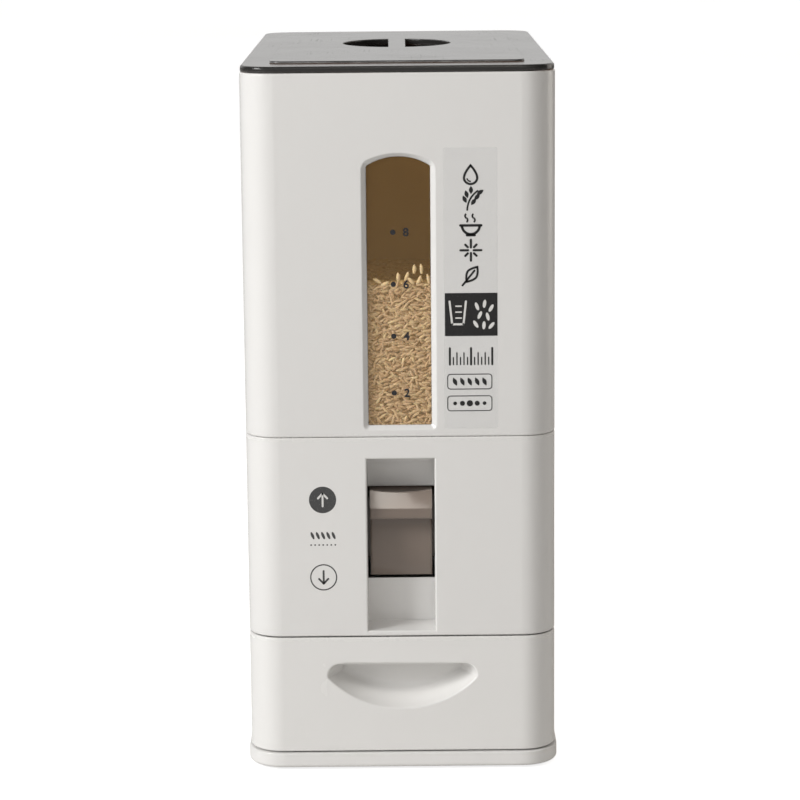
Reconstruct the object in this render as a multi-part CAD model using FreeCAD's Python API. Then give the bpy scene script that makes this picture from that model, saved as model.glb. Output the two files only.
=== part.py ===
"""Measuring rice dispenser with a drawer: a narrow, deep bin in four bands.

From the bottom: base plinth, drawer bay with its drawer, housing with the measuring lever, and a hopper
that lifts off, with a lid that lifts off it. +X is to the right, +Y is to the back, +Z is up, and the
origin is on the floor under the middle of the object. The front face looks along -Y.

The lever turns two curved gates about an X axis. Lever up: the upper gate is open and the metering
chamber fills. Lever down: the upper gate shuts first, then the lower gate opens above the drop chute.
"""
import FreeCAD, Part
import math
import os

from FreeCAD import Vector

# ---- overall sizes ---------------------------------------------------------------------------------
BODY_WIDTH = 200.0
BODY_DEPTH = 392.0
CORNER_RADIUS = 22.0
WALL = 2.5
EDGE_ROUND = 1.0            # small round on the seam edges of the outer shells

# ---- heights of the bands --------------------------------------------------------------------------
BASE_HEIGHT = 12.0          # floor to the top of the plinth
BAY_HEIGHT = 78.5           # drawer bay
HOUSING_HEIGHT = 131.5      # band with the lever
HOPPER_HEIGHT = 232.3
LID_RIM = 4.0
PANEL_RISE = 1.2            # raised panel on the lid
HOPPER_GAP = 0.3            # hopper above the housing
LID_GAP = 0.2               # lid above the hopper

# ---- plinth ----------------------------------------------------------------------------------------
BASE_LIP = 1.5              # plinth stands out from the body on every side
BASE_PLATE = 2.5            # top plate of the plinth
BASE_UNDERCUT = 2.5         # round under the plinth's outer edge
BASE_SKIRT = 4.2
BASE_RIB = 1.8
BASE_RIB_SPACING = 130.0
FOOT_RADIUS = 9.0
FOOT_STAND = 2.0            # foot below the plinth skirt
FOOT_SEAT = 2.0             # foot let into its pad
FOOT_INSET = 24.0           # foot centre from the body's sides
PAD_WALL = 2.5

# ---- screws ----------------------------------------------------------------------------------------
SCREW_RADIUS = 1.5
SCREW_HEAD_RADIUS = 3.2
SCREW_HEAD = 2.0
SCREW_BITE = 10.0           # thread length in the boss
BOSS_RADIUS = 4.5
BOSS_SINK = 0.5             # boss let into the side wall
BOSS_BACK_INSET = 30.0      # rear boss centre from the body's back
BOSS_FROM_DIVIDER = 14.0    # front boss centre behind the bay divider

# ---- drawer ----------------------------------------------------------------------------------------
DRAWER_GAP = 0.9            # above and below the drawer front
DRAWER_WRAP = 40.0          # how far the front wraps round the corners
WRAP_GAP = 0.6
BOX_LENGTH = 172.0
BOX_SETBACK = 24.0          # box front wall behind the face of the drawer
BOX_WALL = 2.0
BOX_FLOOR = 2.0
BOX_HEIGHT = 66.0
BOX_RIM = 2.4
BOX_RIM_THICK = 2.0
DIVIDER_GAP = 4.0           # box to the bay divider
RUNNER_LEDGE = 1.6
RUNNER_WIDTH = 12.0
RUNNER_GUIDE = 3.2
RUNNER_GUIDE_HEIGHT = 8.0
RUNNER_CLEARANCE = 0.4
POST_RADIUS = 4.0
POST_SPACING = 140.0        # left post to right post
POST_DROP = 12.0            # lower post above the bottom of the box
POST_BELOW_RIM = 9.0        # upper post below the rim of the box
DRAWER_SCREW_BITE = 12.0

# ---- scooped handle in the drawer front ------------------------------------------------------------
HANDLE_FROM_TOP = 19.0      # top of the handle below the top of the bay
HANDLE_HEIGHT = 30.0
HANDLE_SHOULDER = 9.0       # widest point below the top of the handle
HANDLE_TOP_HALF = 40.5
HANDLE_HALF = 48.5
HANDLE_DEPTH = 20.0
HANDLE_BACK_HEIGHT = 20.0   # height of the pocket's back
HANDLE_BACK_INSET = 10.0    # back of the pocket narrower than its mouth, each side
HANDLE_WALL = 2.0
HANDLE_BACK_ROUND = 4.0     # soft crease at the back of the pocket's floor
MOUTH_ROUND = 1.2           # rounded edge of the handle, the lever recess and the window
SHOULDER_EASE_SIDE = 0.22   # how far the shoulder's round stays inside its corner, as shares of its
SHOULDER_EASE_TOP = 0.28    # width and of its height

# ---- housing and lever recess ----------------------------------------------------------------------
HOUSING_FLOOR = 2.6
RECESS_HALF = 21.8
RECESS_DEPTH = 27.0
RECESS_SILL = 3.5           # bottom of the recess above the bottom of the housing
RECESS_HEADER = 14.3        # top of the recess below the top of the housing
COVE_HEIGHT = 23.5          # curved ceiling of the recess

# ---- metering mechanism ----------------------------------------------------------------------------
AXIS_DEPTH = 75.5           # gate axis behind the front face
AXIS_HEIGHT = 63.0          # gate axis above the bottom of the housing
LEVER_RADIUS = 57.0
LEVER_THICK = 3.0
LEVER_ROUND = 1.6           # outer edges of the lever plate
LEVER_HALF = 20.2
LEVER_TOP_ANGLE = 152.0     # angles run from +Y towards +Z
LEVER_BOTTOM_ANGLE = 211.2
SHIELD_STEP = 2.8           # shield above the thumb tab behind the lever plate
SHIELD_TOP_ANGLE = 102.0
SHIELD_LAP_ANGLE = 12.0     # shield behind the lever plate
SLOT_CLEARANCE = 0.4        # slot edge outside the lever plate
CARRIER_RADIUS = 45.0
CARRIER_THICK = 2.4
CARRIER_START_ANGLE = 125.0
CARRIER_END_ANGLE = 205.0
LEVER_RIB = 2.0
GATE_RADIUS = 44.3
GATE_THICK = 2.0
UPPER_GATE_START_ANGLE = 38.0
UPPER_GATE_END_ANGLE = 79.5
LOWER_GATE_START_ANGLE = 239.0
LOWER_GATE_END_ANGLE = 281.5
GATE_CLEARANCE = 0.3
SNAP_MARGIN_ANGLE = 9.0     # snap tab starts this many degrees inside its gate
DISC_RADIUS = 46.0
DISC_THICK = 2.5
DISC_GAP = 0.5              # disc to the chamber
BORE_CLEARANCE = 0.05
WASHER_THICK = 0.95
WASHER_PLAY = 0.05
WASHER_RADIUS = 12.0

# ---- metering chamber ------------------------------------------------------------------------------
CHAMBER_HALF = 27.0         # inside, along X
CHAMBER_WALL = 2.0
CHAMBER_BELLY = 24.0        # inside half width, along Y
CHAMBER_SLOT = 7.6          # half width of the slots that the gates close
CHAMBER_SLOPE_ANGLE = 50.0
TRUNNION_RADIUS = 8.0
KEY_RADIUS = 6.0
KEY_FLAT = 4.5
CHEEK_THICK = 3.0
CHEEK_HALF = 16.0
CHEEK_FLANGE = 11.0
CHEEK_FLANGE_THICK = 3.0
CHEEK_SCREW_SPACING = 20.0
CHEEK_SCREW_LENGTH = 8.0
CHUTE_HALF_Y = 11.0
CHUTE_WALL = 1.6
CHUTE_FLANGE = 5.0
CHUTE_FLANGE_THICK = 2.0
CHUTE_TAIL = 5.0            # chute below the housing's underside
CHUTE_HOLE_CLEARANCE = 0.2

# ---- thumb tab on the lever; its heights are above the gate axis -------------------------------------
TAB_REACH = 12.0            # in front of the lever plate
TAB_ROOT = 7.0              # into the lever plate
TAB_FRONT_TOP = 19.8
TAB_FRONT_THICK = 6.7
TAB_FRONT_DIP = 0.2
TAB_SLOPE_DEPTH = 7.0       # from the front edge back to the rim
TAB_RIM_TOP = 29.6
TAB_RIM_DIP = 1.8
TAB_RIM_THICK = 1.9
TAB_RIM_ROUND = 0.9
TAB_ROOT_TOP = 25.5
TAB_ROOT_THICK = 14.0
TAB_ROUND = 1.4

# ---- hopper ----------------------------------------------------------------------------------------
SPIGOT_HEIGHT = 8.0         # ring that drops inside the housing
SPIGOT_CLEARANCE = 0.4
SPIGOT_LEDGE = 2.4          # ring above the bottom edge of the hopper
FUNNEL_LIFT = 1.35          # edge of the funnel above the ring
FUNNEL_THICK = 2.4          # measured straight down
SPOUT_SINK = 8.8            # top of the spout below the bottom edge of the hopper
SPOUT_WALL = 1.8
FUNNEL_RISE = 49.7          # funnel floor at the back wall, above the same edge

# ---- window ----------------------------------------------------------------------------------------
WINDOW_HALF = 20.2          # clear opening at the back of the bevel
WINDOW_SILL = 7.5           # bottom of the opening above the bottom edge of the hopper
WINDOW_SIDE = 166.1         # straight side of the opening
WINDOW_RISE = 6.0           # arch above the sides
BEVEL_SIDE = 3.3
BEVEL_BOTTOM = 3.1
BEVEL_TOP = 2.4
WINDOW_ROUND = 3.4           # lower corners of the bevel, at the front
WINDOW_SHOULDER_ROUND = 8.0  # the same, where the arch starts
PANE_ROUND = 1.0             # lower corners of the bevel, at the back
PANE_SHOULDER_ROUND = 1.8    # the same, where the arch starts
PANE_THICK = 2.0
PANE_LAP = 5.0
PANE_LAP_BOTTOM = 1.2

# ---- lid -------------------------------------------------------------------------------------------
LID_INSET = 0.5
LID_PLATE = 2.5
LID_ROUND = 1.4
SKIRT_CLEARANCE = 0.6
SKIRT_DEPTH = 8.8
SKIRT_THICK = 2.0
PANEL_SIDE_BORDER = 18.5
PANEL_FRONT_BORDER = 33.5
PANEL_BACK_BORDER = 29.5
PANEL_RADIUS = 8.0
PANEL_ROUND = 0.5
WELL_HALF_X = 38.0
WELL_HALF_Y = 49.0
WELL_Y = 26.0
WELL_BAR = 11.6             # bar left between the two wells
CUP_MARGIN = 0.6
CUP_WALL = 2.0
CUP_DEPTH = 20.0
CUP_FLOOR_ROUND = 6.0

# ---- worked out from the sizes above ---------------------------------------------------------------
FRONT_Y = -BODY_DEPTH / 2
BACK_Y = BODY_DEPTH / 2
SIDE_X = BODY_WIDTH / 2
INNER_X = SIDE_X - WALL
INNER_BACK_Y = BACK_Y - WALL
INNER_FRONT_Y = FRONT_Y + WALL
BASE_TOP = BASE_HEIGHT
BAY_TOP = BASE_TOP + BAY_HEIGHT
HOUSING_TOP = BAY_TOP + HOUSING_HEIGHT
HOPPER_BOTTOM = HOUSING_TOP + HOPPER_GAP
HOPPER_TOP = HOPPER_BOTTOM + HOPPER_HEIGHT
LID_BOTTOM = HOPPER_TOP + LID_GAP
RIM_TOP = LID_BOTTOM + LID_RIM
AXIS_Y = FRONT_Y + AXIS_DEPTH
AXIS_Z = BAY_TOP + AXIS_HEIGHT
WINDOW_BOTTOM = HOPPER_BOTTOM + WINDOW_SILL
SPOUT_TOP = HOPPER_BOTTOM - SPOUT_SINK
HOUSING_DECK = BAY_TOP + HOUSING_FLOOR
CHAMBER_OUTER = CHAMBER_HALF + CHAMBER_WALL
DISC_INNER = CHAMBER_OUTER + DISC_GAP
DISC_OUTER = DISC_INNER + DISC_THICK
CHEEK_INNER = DISC_OUTER + WASHER_PLAY + WASHER_THICK
CHEEK_OUTER = CHEEK_INNER + CHEEK_THICK
BOX_FRONT_Y = FRONT_Y + BOX_SETBACK
BOX_BACK_Y = BOX_FRONT_Y + BOX_LENGTH
DIVIDER_Y = BOX_BACK_Y + DIVIDER_GAP
RUNNER_FRONT_Y = FRONT_Y + DRAWER_WRAP + WRAP_GAP
BOX_OUTER_X = INNER_X - RUNNER_GUIDE - RUNNER_CLEARANCE
BOX_BOTTOM = BASE_TOP + RUNNER_LEDGE + RUNNER_CLEARANCE
BOX_TOP = BOX_BOTTOM + BOX_HEIGHT
BOSS_PLACES = [(side * (INNER_X + BOSS_SINK - BOSS_RADIUS), y)
               for side in (-1, 1)
               for y in (DIVIDER_Y + BOSS_FROM_DIVIDER, BACK_Y - BOSS_BACK_INSET)]
FAR = 60.0                  # how far cutting tools run past what they cut
SMALL = 0.01


# ---- shared shapes ---------------------------------------------------------------------------------
def plan_face(x_half, y_front, y_back, radius, z=0.0):
    """Rounded rectangle seen from above."""
    left, right, turn = -x_half, x_half, radius * (1 - math.sqrt(0.5))
    points = [Vector(left + radius, y_front, z), Vector(right - radius, y_front, z),
              Vector(right, y_front + radius, z), Vector(right, y_back - radius, z),
              Vector(right - radius, y_back, z), Vector(left + radius, y_back, z),
              Vector(left, y_back - radius, z), Vector(left, y_front + radius, z)]
    middles = [Vector(right - turn, y_front + turn, z), Vector(right - turn, y_back - turn, z),
               Vector(left + turn, y_back - turn, z), Vector(left + turn, y_front + turn, z)]
    edges = []
    for side in range(4):
        start, end, following = points[2 * side], points[2 * side + 1], points[(2 * side + 2) % 8]
        edges.append(Part.makeLine(start, end))
        edges.append(Part.Arc(end, middles[side], following).toShape())
    return Part.Face(Part.Wire(edges))


def body_block(inset, z_low, z_high):
    """Upright block with the outline of the body, drawn in by inset on every side."""
    face = plan_face(SIDE_X - inset, FRONT_Y + inset, BACK_Y - inset, CORNER_RADIUS - inset, z_low)
    return face.extrude(Vector(0, 0, z_high - z_low))


def box(x_low, x_high, y_low, y_high, z_low, z_high):
    """Plain block between two corners."""
    return Part.makeBox(x_high - x_low, y_high - y_low, z_high - z_low, Vector(x_low, y_low, z_low))


def upright(radius, x, y, z_low, z_high):
    """Upright cylinder."""
    return Part.makeCylinder(radius, z_high - z_low, Vector(x, y, z_low))


def polygon_x(points, x_low, x_high):
    """Closed outline of (y, z) points, pulled along X."""
    corners = [Vector(x_low, y, z) for y, z in points]
    return Part.Face(Part.makePolygon(corners + corners[:1])).extrude(Vector(x_high - x_low, 0, 0))


def level_edges(shape, z):
    """Edges that lie flat at one height."""
    return [edge for edge in shape.Edges
            if abs(edge.BoundBox.ZMin - z) < SMALL and abs(edge.BoundBox.ZMax - z) < SMALL]


def mouth_edges(shape, x_half, z_low, z_high):
    """Edges of an opening that lie in the front face, inside a rectangle."""
    found = []
    for edge in shape.Edges:
        bounds = edge.BoundBox
        in_face = abs(bounds.YMin - FRONT_Y) < SMALL and abs(bounds.YMax - FRONT_Y) < SMALL
        across = bounds.XMin > -x_half and bounds.XMax < x_half
        if in_face and across and bounds.ZMin > z_low and bounds.ZMax < z_high:
            found.append(edge)
    return found


def polar(radius, degrees, x):
    """Point at an angle about the gate axis, from +Y towards +Z."""
    angle = math.radians(degrees)
    return Vector(x, AXIS_Y + radius * math.cos(angle), AXIS_Z + radius * math.sin(angle))


def arc_plate(r_in, r_out, start, end, x_low, x_high):
    """Piece of a tube about the gate axis."""
    middle = (start + end) / 2
    outer = Part.Arc(polar(r_out, start, x_low), polar(r_out, middle, x_low), polar(r_out, end, x_low))
    inner = Part.Arc(polar(r_in, end, x_low), polar(r_in, middle, x_low), polar(r_in, start, x_low))
    end_edge = Part.makeLine(polar(r_out, end, x_low), polar(r_in, end, x_low))
    start_edge = Part.makeLine(polar(r_in, start, x_low), polar(r_out, start, x_low))
    wire = Part.Wire([outer.toShape(), end_edge, inner.toShape(), start_edge])
    return Part.Face(wire).extrude(Vector(x_high - x_low, 0, 0))


def on_radius(point, radius):
    """Whether a point lies at a distance from the gate axis."""
    return abs(math.hypot(point.y - AXIS_Y, point.z - AXIS_Z) - radius) < SMALL


def axle(radius, x_low, x_high):
    """Cylinder on the gate axis."""
    return Part.makeCylinder(radius, x_high - x_low, Vector(x_low, AXIS_Y, AXIS_Z), Vector(1, 0, 0))


def mirrored(shape):
    """The same shape on the other side of the middle plane."""
    return shape.mirror(Vector(0, 0, 0), Vector(1, 0, 0))


def screw_up(x, y, z_seat, bite):
    """Pan head screw driven upwards; its head is under z_seat."""
    head = upright(SCREW_HEAD_RADIUS, x, y, z_seat - SCREW_HEAD, z_seat)
    return head.fuse(upright(SCREW_RADIUS, x, y, z_seat - SMALL, z_seat + bite)).removeSplitter()


def screw_down(x, y, z_seat, bite):
    """Pan head screw driven downwards; its head is on z_seat."""
    head = upright(SCREW_HEAD_RADIUS, x, y, z_seat, z_seat + SCREW_HEAD)
    return head.fuse(upright(SCREW_RADIUS, x, y, z_seat - bite, z_seat + SMALL)).removeSplitter()


# ---- base and drawer bay ---------------------------------------------------------------------------
def foot_places():
    """Centres of the four feet."""
    x, y = SIDE_X - FOOT_INSET, BACK_Y - FOOT_INSET
    return [(sx * x, sy * y) for sx in (-1, 1) for sy in (-1, 1)]


def base_tray():
    """Plinth: top plate with a skirt, ribs and four foot pads."""
    under = BASE_TOP - BASE_PLATE
    tray = body_block(-BASE_LIP, FOOT_STAND, BASE_TOP)
    tray = tray.makeFillet(BASE_UNDERCUT, level_edges(tray, FOOT_STAND))
    tray = tray.makeFillet(EDGE_ROUND, level_edges(tray, BASE_TOP))
    hollow = body_block(BASE_SKIRT - BASE_LIP, FOOT_STAND - FAR, under)
    tray = tray.cut(hollow)
    ribs = [box(-SIDE_X, SIDE_X, y - BASE_RIB / 2, y + BASE_RIB / 2,
                FOOT_STAND + FOOT_SEAT, under) for y in (-BASE_RIB_SPACING / 2, BASE_RIB_SPACING / 2)]
    pads = [upright(FOOT_RADIUS + PAD_WALL, x, y, FOOT_STAND, under) for x, y in foot_places()]
    tray = tray.multiFuse(ribs + pads).removeSplitter()
    for x, y in foot_places():
        tray = tray.cut(upright(FOOT_RADIUS, x, y, FOOT_STAND, FOOT_STAND + FOOT_SEAT))
    for x, y in BOSS_PLACES:
        tray = tray.cut(upright(SCREW_RADIUS, x, y, under, BASE_TOP))
    return tray


def rubber_feet():
    """Four round feet, each let into its pad."""
    feet = [upright(FOOT_RADIUS, x, y, 0, FOOT_STAND + FOOT_SEAT) for x, y in foot_places()]
    return Part.makeCompound(feet)


def base_screws():
    """Screws from under the plinth into the bay."""
    return Part.makeCompound([screw_up(x, y, BASE_TOP - BASE_PLATE, BASE_PLATE + SCREW_BITE)
                              for x, y in BOSS_PLACES])


def bay_shell():
    """Side and back walls round the drawer, the divider behind it and the screw columns."""
    shell = body_block(0, BASE_TOP, BAY_TOP).cut(body_block(WALL, BASE_TOP - FAR, BAY_TOP + FAR))
    front = box(-SIDE_X - FAR, SIDE_X + FAR, FRONT_Y - FAR, RUNNER_FRONT_Y, BASE_TOP - FAR, BAY_TOP + FAR)
    shell = shell.cut(front)
    divider = box(-INNER_X - WALL / 2, INNER_X + WALL / 2, DIVIDER_Y, DIVIDER_Y + WALL, BASE_TOP, BAY_TOP)
    columns = [upright(BOSS_RADIUS, x, y, BASE_TOP, BAY_TOP) for x, y in BOSS_PLACES]
    shell = shell.multiFuse([divider] + columns).removeSplitter()
    for x, y in BOSS_PLACES:
        shell = shell.cut(upright(SCREW_RADIUS, x, y, BASE_TOP, BASE_TOP + SCREW_BITE))
        shell = shell.cut(upright(SCREW_RADIUS, x, y, BAY_TOP - SCREW_BITE, BAY_TOP))
    return shell


def right_runner():
    """Angle strip that carries and guides one side of the drawer."""
    ledge = box(INNER_X - RUNNER_WIDTH, INNER_X, RUNNER_FRONT_Y, DIVIDER_Y, BASE_TOP,
                BASE_TOP + RUNNER_LEDGE)
    guide = box(INNER_X - RUNNER_GUIDE, INNER_X, RUNNER_FRONT_Y, DIVIDER_Y, BASE_TOP,
                BASE_TOP + RUNNER_GUIDE_HEIGHT)
    return ledge.fuse(guide).removeSplitter()


# ---- drawer ----------------------------------------------------------------------------------------
def handle_wire(y, half, top_half, top, shoulder, bottom):
    """Smile-shaped outline: straight top, round shoulders, one long arc below."""
    corner = Vector(half - (half - top_half) * SHOULDER_EASE_SIDE, y,
                    top - (top - shoulder) * SHOULDER_EASE_TOP)
    left_corner = Vector(-corner.x, y, corner.z)
    right, left, low = Vector(half, y, shoulder), Vector(-half, y, shoulder), Vector(0, y, bottom)
    edges = [Part.makeLine(Vector(-top_half, y, top), Vector(top_half, y, top)),
             Part.Arc(Vector(top_half, y, top), corner, right).toShape(),
             Part.Arc(right, low, left).toShape(),
             Part.Arc(left, left_corner, Vector(-top_half, y, top)).toShape()]
    return Part.Wire(edges)


def handle_form(grow, y_front, y_back):
    """Solid of the handle pocket, made larger all round by grow."""
    top = BAY_TOP - HANDLE_FROM_TOP
    shoulder = top - HANDLE_SHOULDER
    front = handle_wire(y_front, HANDLE_HALF + grow, HANDLE_TOP_HALF, top + grow, shoulder,
                        top - HANDLE_HEIGHT - grow)
    back = handle_wire(y_back, HANDLE_HALF - HANDLE_BACK_INSET + grow, HANDLE_TOP_HALF - HANDLE_BACK_INSET,
                       top + grow, shoulder, top - HANDLE_BACK_HEIGHT - grow)
    return Part.makeLoft([front, back], True, True)


def post_places():
    """Centres (x, z) of the posts that join the drawer front to its box."""
    x = POST_SPACING / 2
    return [(sx * x, z) for sx in (-1, 1) for z in (BOX_BOTTOM + POST_DROP, BOX_TOP - POST_BELOW_RIM)]


def along_y(radius, x, z, y_low, y_high):
    """Cylinder that lies along Y."""
    return Part.makeCylinder(radius, y_high - y_low, Vector(x, y_low, z), Vector(0, 1, 0))


def drawer_front():
    """Full width front that wraps both corners, with the scooped handle."""
    low, high = BASE_TOP + DRAWER_GAP, BAY_TOP - DRAWER_GAP
    panel = body_block(0, low, high)
    panel = panel.makeFillet(EDGE_ROUND, level_edges(panel, low) + level_edges(panel, high))
    panel = panel.cut(body_block(WALL, low - FAR, high + FAR))
    rest = box(-SIDE_X - FAR, SIDE_X + FAR, FRONT_Y + DRAWER_WRAP, BACK_Y + FAR, low - FAR, high + FAR)
    panel = panel.cut(rest)
    pocket = handle_form(HANDLE_WALL, FRONT_Y + WALL / 2, FRONT_Y + HANDLE_DEPTH + HANDLE_WALL)
    posts = [along_y(POST_RADIUS, x, z, INNER_FRONT_Y - WALL / 2, BOX_FRONT_Y) for x, z in post_places()]
    panel = panel.multiFuse([pocket] + posts).removeSplitter()
    scoop = handle_form(0, FRONT_Y, FRONT_Y + HANDLE_DEPTH)
    crease = [edge for edge in scoop.Edges if edge.BoundBox.YMin > FRONT_Y + HANDLE_DEPTH - SMALL
              and edge.BoundBox.XLength > HANDLE_HALF and edge.BoundBox.ZLength > SMALL]
    panel = panel.cut(scoop.makeFillet(HANDLE_BACK_ROUND, crease))
    mouth = mouth_edges(panel, HANDLE_HALF + HANDLE_WALL, low + WALL, high - WALL)
    panel = panel.makeFillet(MOUTH_ROUND, mouth)
    for x, z in post_places():
        panel = panel.cut(along_y(SCREW_RADIUS, x, z, BOX_FRONT_Y - DRAWER_SCREW_BITE, BOX_FRONT_Y))
    return panel


def drawer_box():
    """Open box with an outward rim."""
    tub = box(-BOX_OUTER_X, BOX_OUTER_X, BOX_FRONT_Y, BOX_BACK_Y, BOX_BOTTOM, BOX_TOP)
    rim = box(-BOX_OUTER_X - BOX_RIM, BOX_OUTER_X + BOX_RIM, BOX_FRONT_Y, BOX_BACK_Y + BOX_RIM,
              BOX_TOP - BOX_RIM_THICK, BOX_TOP)
    tub = tub.fuse(rim).removeSplitter()
    tub = tub.cut(box(-BOX_OUTER_X + BOX_WALL, BOX_OUTER_X - BOX_WALL, BOX_FRONT_Y + BOX_WALL,
                      BOX_BACK_Y - BOX_WALL, BOX_BOTTOM + BOX_FLOOR, BOX_TOP + FAR))
    for x, z in post_places():
        tub = tub.cut(along_y(SCREW_RADIUS, x, z, BOX_FRONT_Y, BOX_FRONT_Y + BOX_WALL))
    return tub


def drawer_screws():
    """Screws from inside the box into the posts of the front."""
    screws = []
    for x, z in post_places():
        seat = BOX_FRONT_Y + BOX_WALL
        head = along_y(SCREW_HEAD_RADIUS, x, z, seat, seat + SCREW_HEAD)
        shank = along_y(SCREW_RADIUS, x, z, BOX_FRONT_Y - DRAWER_SCREW_BITE, seat + SMALL)
        screws.append(head.fuse(shank).removeSplitter())
    return Part.makeCompound(screws)


# ---- housing ---------------------------------------------------------------------------------------
def recess_form(grow):
    """Solid of the lever recess, made larger by grow behind and around it."""
    back = FRONT_Y + RECESS_DEPTH + grow
    half = RECESS_HALF + grow
    top = HOUSING_TOP - RECESS_HEADER
    spring = top - COVE_HEIGHT
    low, high = BAY_TOP + RECESS_SILL - grow, top + grow
    rise, run = high - spring, back - FRONT_Y
    lean = math.sqrt(0.5)
    mouth = FRONT_Y - (0 if grow else FAR)
    start = Vector(-half, back, spring)
    end = Vector(-half, FRONT_Y, high)
    middle = Vector(-half, FRONT_Y + run * lean, spring + rise * lean)
    edges = [Part.makeLine(Vector(-half, mouth, low), Vector(-half, back, low)),
             Part.makeLine(Vector(-half, back, low), start),
             Part.Arc(start, middle, end).toShape()]
    if mouth < FRONT_Y:
        edges.append(Part.makeLine(end, Vector(-half, mouth, high)))
    edges.append(Part.makeLine(Vector(-half, mouth, high), Vector(-half, mouth, low)))
    return Part.Face(Part.Wire(edges)).extrude(Vector(2 * half, 0, 0))


def cheek_screw_places():
    """Centres of the screws that hold the cheeks."""
    x = CHEEK_OUTER + CHEEK_FLANGE / 2
    y = CHEEK_SCREW_SPACING / 2
    return [(sx * x, AXIS_Y + sy * y) for sx in (-1, 1) for sy in (-1, 1)]


def housing_shell():
    """Band with the lever recess and its slot, a floor, and an open top that takes the hopper."""
    shell = body_block(0, BAY_TOP, HOUSING_TOP)
    shell = shell.makeFillet(EDGE_ROUND, level_edges(shell, BAY_TOP) + level_edges(shell, HOUSING_TOP))
    shell = shell.cut(body_block(WALL, HOUSING_DECK, HOUSING_TOP + FAR))
    pocket = recess_form(WALL).common(body_block(WALL / 2, BAY_TOP + WALL / 2, HOUSING_TOP))
    bosses = [upright(BOSS_RADIUS, x, y, BAY_TOP - CHUTE_TAIL, BAY_TOP + HOUSING_FLOOR / 2)
              for x, y in cheek_screw_places()]
    shell = shell.multiFuse([pocket] + bosses).removeSplitter()
    shell = shell.cut(recess_form(0))
    mouth = mouth_edges(shell, RECESS_HALF + WALL, BAY_TOP + EDGE_ROUND, HOUSING_TOP - EDGE_ROUND)
    shell = shell.makeFillet(MOUTH_ROUND, mouth)
    shell = shell.cut(axle(LEVER_RADIUS + SLOT_CLEARANCE, -RECESS_HALF, RECESS_HALF).common(
        box(-RECESS_HALF, RECESS_HALF, FRONT_Y, AXIS_Y, HOUSING_DECK, HOUSING_TOP)))
    hole_x = CHAMBER_HALF + CHUTE_WALL + CHUTE_HOLE_CLEARANCE
    hole_y = CHUTE_HALF_Y + CHUTE_WALL + CHUTE_HOLE_CLEARANCE
    shell = shell.cut(box(-hole_x, hole_x, AXIS_Y - hole_y, AXIS_Y + hole_y, BAY_TOP - FAR, HOUSING_DECK))
    for x, y in BOSS_PLACES + cheek_screw_places():
        shell = shell.cut(upright(SCREW_RADIUS, x, y, BAY_TOP - FAR, HOUSING_DECK))
    return shell


def housing_screws():
    """Screws from inside the housing down into the bay's columns."""
    return Part.makeCompound([screw_down(x, y, HOUSING_DECK, HOUSING_FLOOR + SCREW_BITE)
                              for x, y in BOSS_PLACES])


# ---- metering mechanism ----------------------------------------------------------------------------
def chamber_outline(grow):
    """(y, z) outline of the chamber: narrow slots above and below, a wide belly between them."""
    reach = math.sqrt((GATE_RADIUS - GATE_THICK - GATE_CLEARANCE) ** 2 - CHAMBER_SLOT ** 2)
    slot, belly = CHAMBER_SLOT + grow, CHAMBER_BELLY + grow
    shoulder = reach - (CHAMBER_BELLY - CHAMBER_SLOT) * math.tan(math.radians(CHAMBER_SLOPE_ANGLE))
    right = [(slot, -reach), (belly, -shoulder), (belly, shoulder), (slot, reach)]
    left = [(-y, z) for y, z in reversed(right)]
    return [(AXIS_Y + y, AXIS_Z + z) for y, z in right + left]


def metering_chamber():
    """Fixed cup of one measure, with a slot at the top and bottom and a trunnion on each side."""
    outer = polygon_x(chamber_outline(CHAMBER_WALL), -CHAMBER_OUTER, CHAMBER_OUTER)
    outer = outer.common(axle(GATE_RADIUS - GATE_THICK - GATE_CLEARANCE, -CHAMBER_OUTER, CHAMBER_OUTER))
    inner = polygon_x(chamber_outline(0), -CHAMBER_HALF, CHAMBER_HALF)
    through = box(-CHAMBER_HALF, CHAMBER_HALF, AXIS_Y - CHAMBER_SLOT, AXIS_Y + CHAMBER_SLOT,
                  AXIS_Z - GATE_RADIUS, AXIS_Z + GATE_RADIUS)
    cup = outer.cut(inner.fuse(through))
    trunnion = axle(TRUNNION_RADIUS, CHAMBER_OUTER - CHAMBER_WALL / 2, CHEEK_INNER)
    pin = trunnion.fuse(key_form())
    return cup.multiFuse([pin, mirrored(pin)]).removeSplitter()


def key_form():
    """Flatted end of a trunnion, which stops the chamber turning in its cheek."""
    pin = axle(KEY_RADIUS, CHEEK_INNER - SMALL, CHEEK_OUTER)
    flat = box(0, CHEEK_OUTER + FAR, AXIS_Y - FAR, AXIS_Y + FAR, AXIS_Z + KEY_FLAT, AXIS_Z + FAR)
    return pin.cut(flat)


def right_cheek():
    """Bracket that carries one end of the chamber."""
    plate = box(CHEEK_INNER, CHEEK_OUTER, AXIS_Y - CHEEK_HALF, AXIS_Y + CHEEK_HALF, HOUSING_DECK, AXIS_Z)
    plate = plate.fuse(axle(CHEEK_HALF, CHEEK_INNER, CHEEK_OUTER))
    flange = box(CHEEK_OUTER - CHEEK_THICK, CHEEK_OUTER + CHEEK_FLANGE, AXIS_Y - CHEEK_HALF,
                 AXIS_Y + CHEEK_HALF, HOUSING_DECK, HOUSING_DECK + CHEEK_FLANGE_THICK)
    plate = plate.fuse(flange).removeSplitter().cut(key_form())
    for x, y in cheek_screw_places():
        plate = plate.cut(upright(SCREW_RADIUS, x, y, HOUSING_DECK, HOUSING_DECK + CHEEK_FLANGE_THICK))
    return plate


def cheek_screws():
    """Screws through the flanges of the cheeks into the housing floor."""
    seat = HOUSING_DECK + CHEEK_FLANGE_THICK
    return Part.makeCompound([screw_down(x, y, seat, CHEEK_SCREW_LENGTH) for x, y in cheek_screw_places()])


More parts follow.
